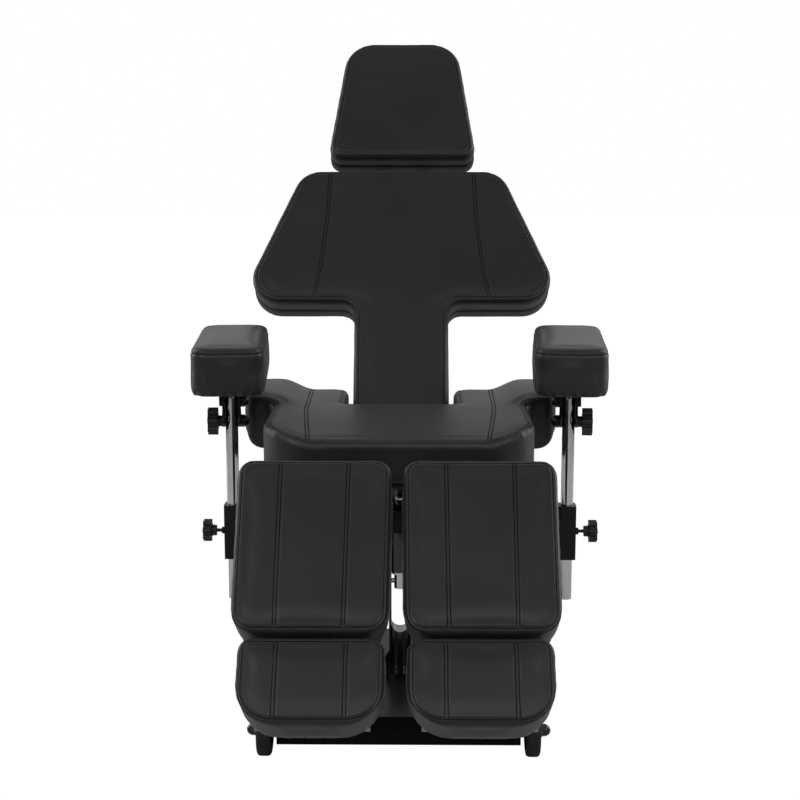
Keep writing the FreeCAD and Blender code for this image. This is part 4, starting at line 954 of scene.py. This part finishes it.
stapled("seat_staples", "seat_board", seat_plane, seat_outline, "lift")
stapled("back_staples", "back_board", back_plane, back_outline, "back")
for side, hand in ((1, "right"), (-1, "left")):
    outline = leg_outline if side > 0 else [(-x, y, r) for x, y, r in reversed(leg_outline)]
    stapled("leg_staples_" + hand, "leg_board_" + hand, leg_plane, outline, "leg_" + hand)

# %% [markdown]
# Weld beads join the tubes to their plates: a row of overlapping drops, each a little turned. The wheels
# get the fine parting line of their mould and a washer under each dome nut, the pedal its rubber ribs, and
# the ram its top bolt.

# %% Welds, wheels, pedal and ram bolt
bead_pitch = 0.0026
plate_thick = 8 * mm
column_plate, column_tube = 45 * mm, 23 * mm
guide_flange, guide_tube = 34 * mm, 27 * mm
ram_bolt_z = 0.445
rib_places_mm = (9, 19, 29, 39, 49)


def bead_round(centre, radius, height):
    """Places for a bead round a tube: drops leaning halfway between the tube and its plate."""
    count = int(2 * math.pi * radius / bead_pitch)
    places = []
    for k in range(count):
        turn = Matrix.Rotation(2 * math.pi * k / count, 4, "Z")
        lean = Matrix.Rotation(math.radians(45 + 4 * math.sin(k * 1.7)), 4, "Y")
        centred = Matrix.Translation((centre[0], centre[1], height))
        places.append(centred @ turn @ Matrix.Translation((radius, 0, 0)) @ lean)
    return places


def bead_square(x, y0, y1, z0, z1, side):
    """Places for a bead round the end of a square beam that meets a post at x."""
    corners = [Vector((x, y0, z0)), Vector((x, y1, z0)), Vector((x, y1, z1)), Vector((x, y0, z1))]
    places = []
    for a, b in zip(corners, corners[1:] + corners[:1]):
        count = int((b - a).length / bead_pitch)
        outwards = (a + b) / 2 - sum(corners, Vector()) / 4
        lean = facing((0, 0, 0), outwards.normalized() - Vector((side, 0, 0)))
        places += [Matrix.Translation(a.lerp(b, k / count)) @ lean for k in range(count)]
    return places


drop = bead_drop()
pin_low, pin_high = (Vector(corner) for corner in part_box("ram_pin"))
column = (pin_low + pin_high) / 2
cover_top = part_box("base_cover")[1][2]
plate_top = cover_top + plate_thick
guide_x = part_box("guide_outer_tubes")[1][0] - guide_flange
places = bead_round(column, column_plate, cover_top) + bead_round(column, column_tube, plate_top)
for side in (-1, 1):
    foot = (side * guide_x, column.y)
    places += bead_round(foot, guide_flange, cover_top) + bead_round(foot, guide_tube, plate_top)
copied("column_weld_beads", drop, places, powder, "base")
beam_low, beam_high = (Vector(corner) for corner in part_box("arm_cross_beam"))
places = []
for side in (-1, 1):
    places += bead_square(side * beam_high.x, beam_low.y, beam_high.y, beam_low.z, beam_high.z, side)
copied("arm_beam_weld_beads", drop, places, powder, "lift")
for side, hand in ((1, "right"), (-1, "left")):
    tyre_low, tyre_high = (Vector(corner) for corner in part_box("front_tyre_" + hand))
    tyre = (tyre_low + tyre_high) / 2
    copied("tyre_parting_line_" + hand, parting_kind, [facing(tyre, (side, 0, 0))], rubber,
           "wheel_" + hand)
    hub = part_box("front_hub_" + hand)[1 if side > 0 else 0][0]
    copied("axle_washer_" + hand, washer_kind, [facing((hub, tyre.y, tyre.z), (side, 0, 0))], steel,
           "base")
pedal_low, pedal_high = (Vector(corner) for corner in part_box("lift_pedal"))
ribs = [Matrix.Translation(((pedal_low.x + pedal_high.x) / 2, pedal_high.y - y * mm, pedal_high.z))
        for y in rib_places_mm]
copied("pedal_ribs", rib_kind, ribs, rubber, "pedal")
ram_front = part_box("ram_cylinder")[0][1]
copied("ram_top_bolt", dome_kind, [facing((column.x, ram_front, ram_bolt_z), (0, -1, 0))], chrome,
       "lift")
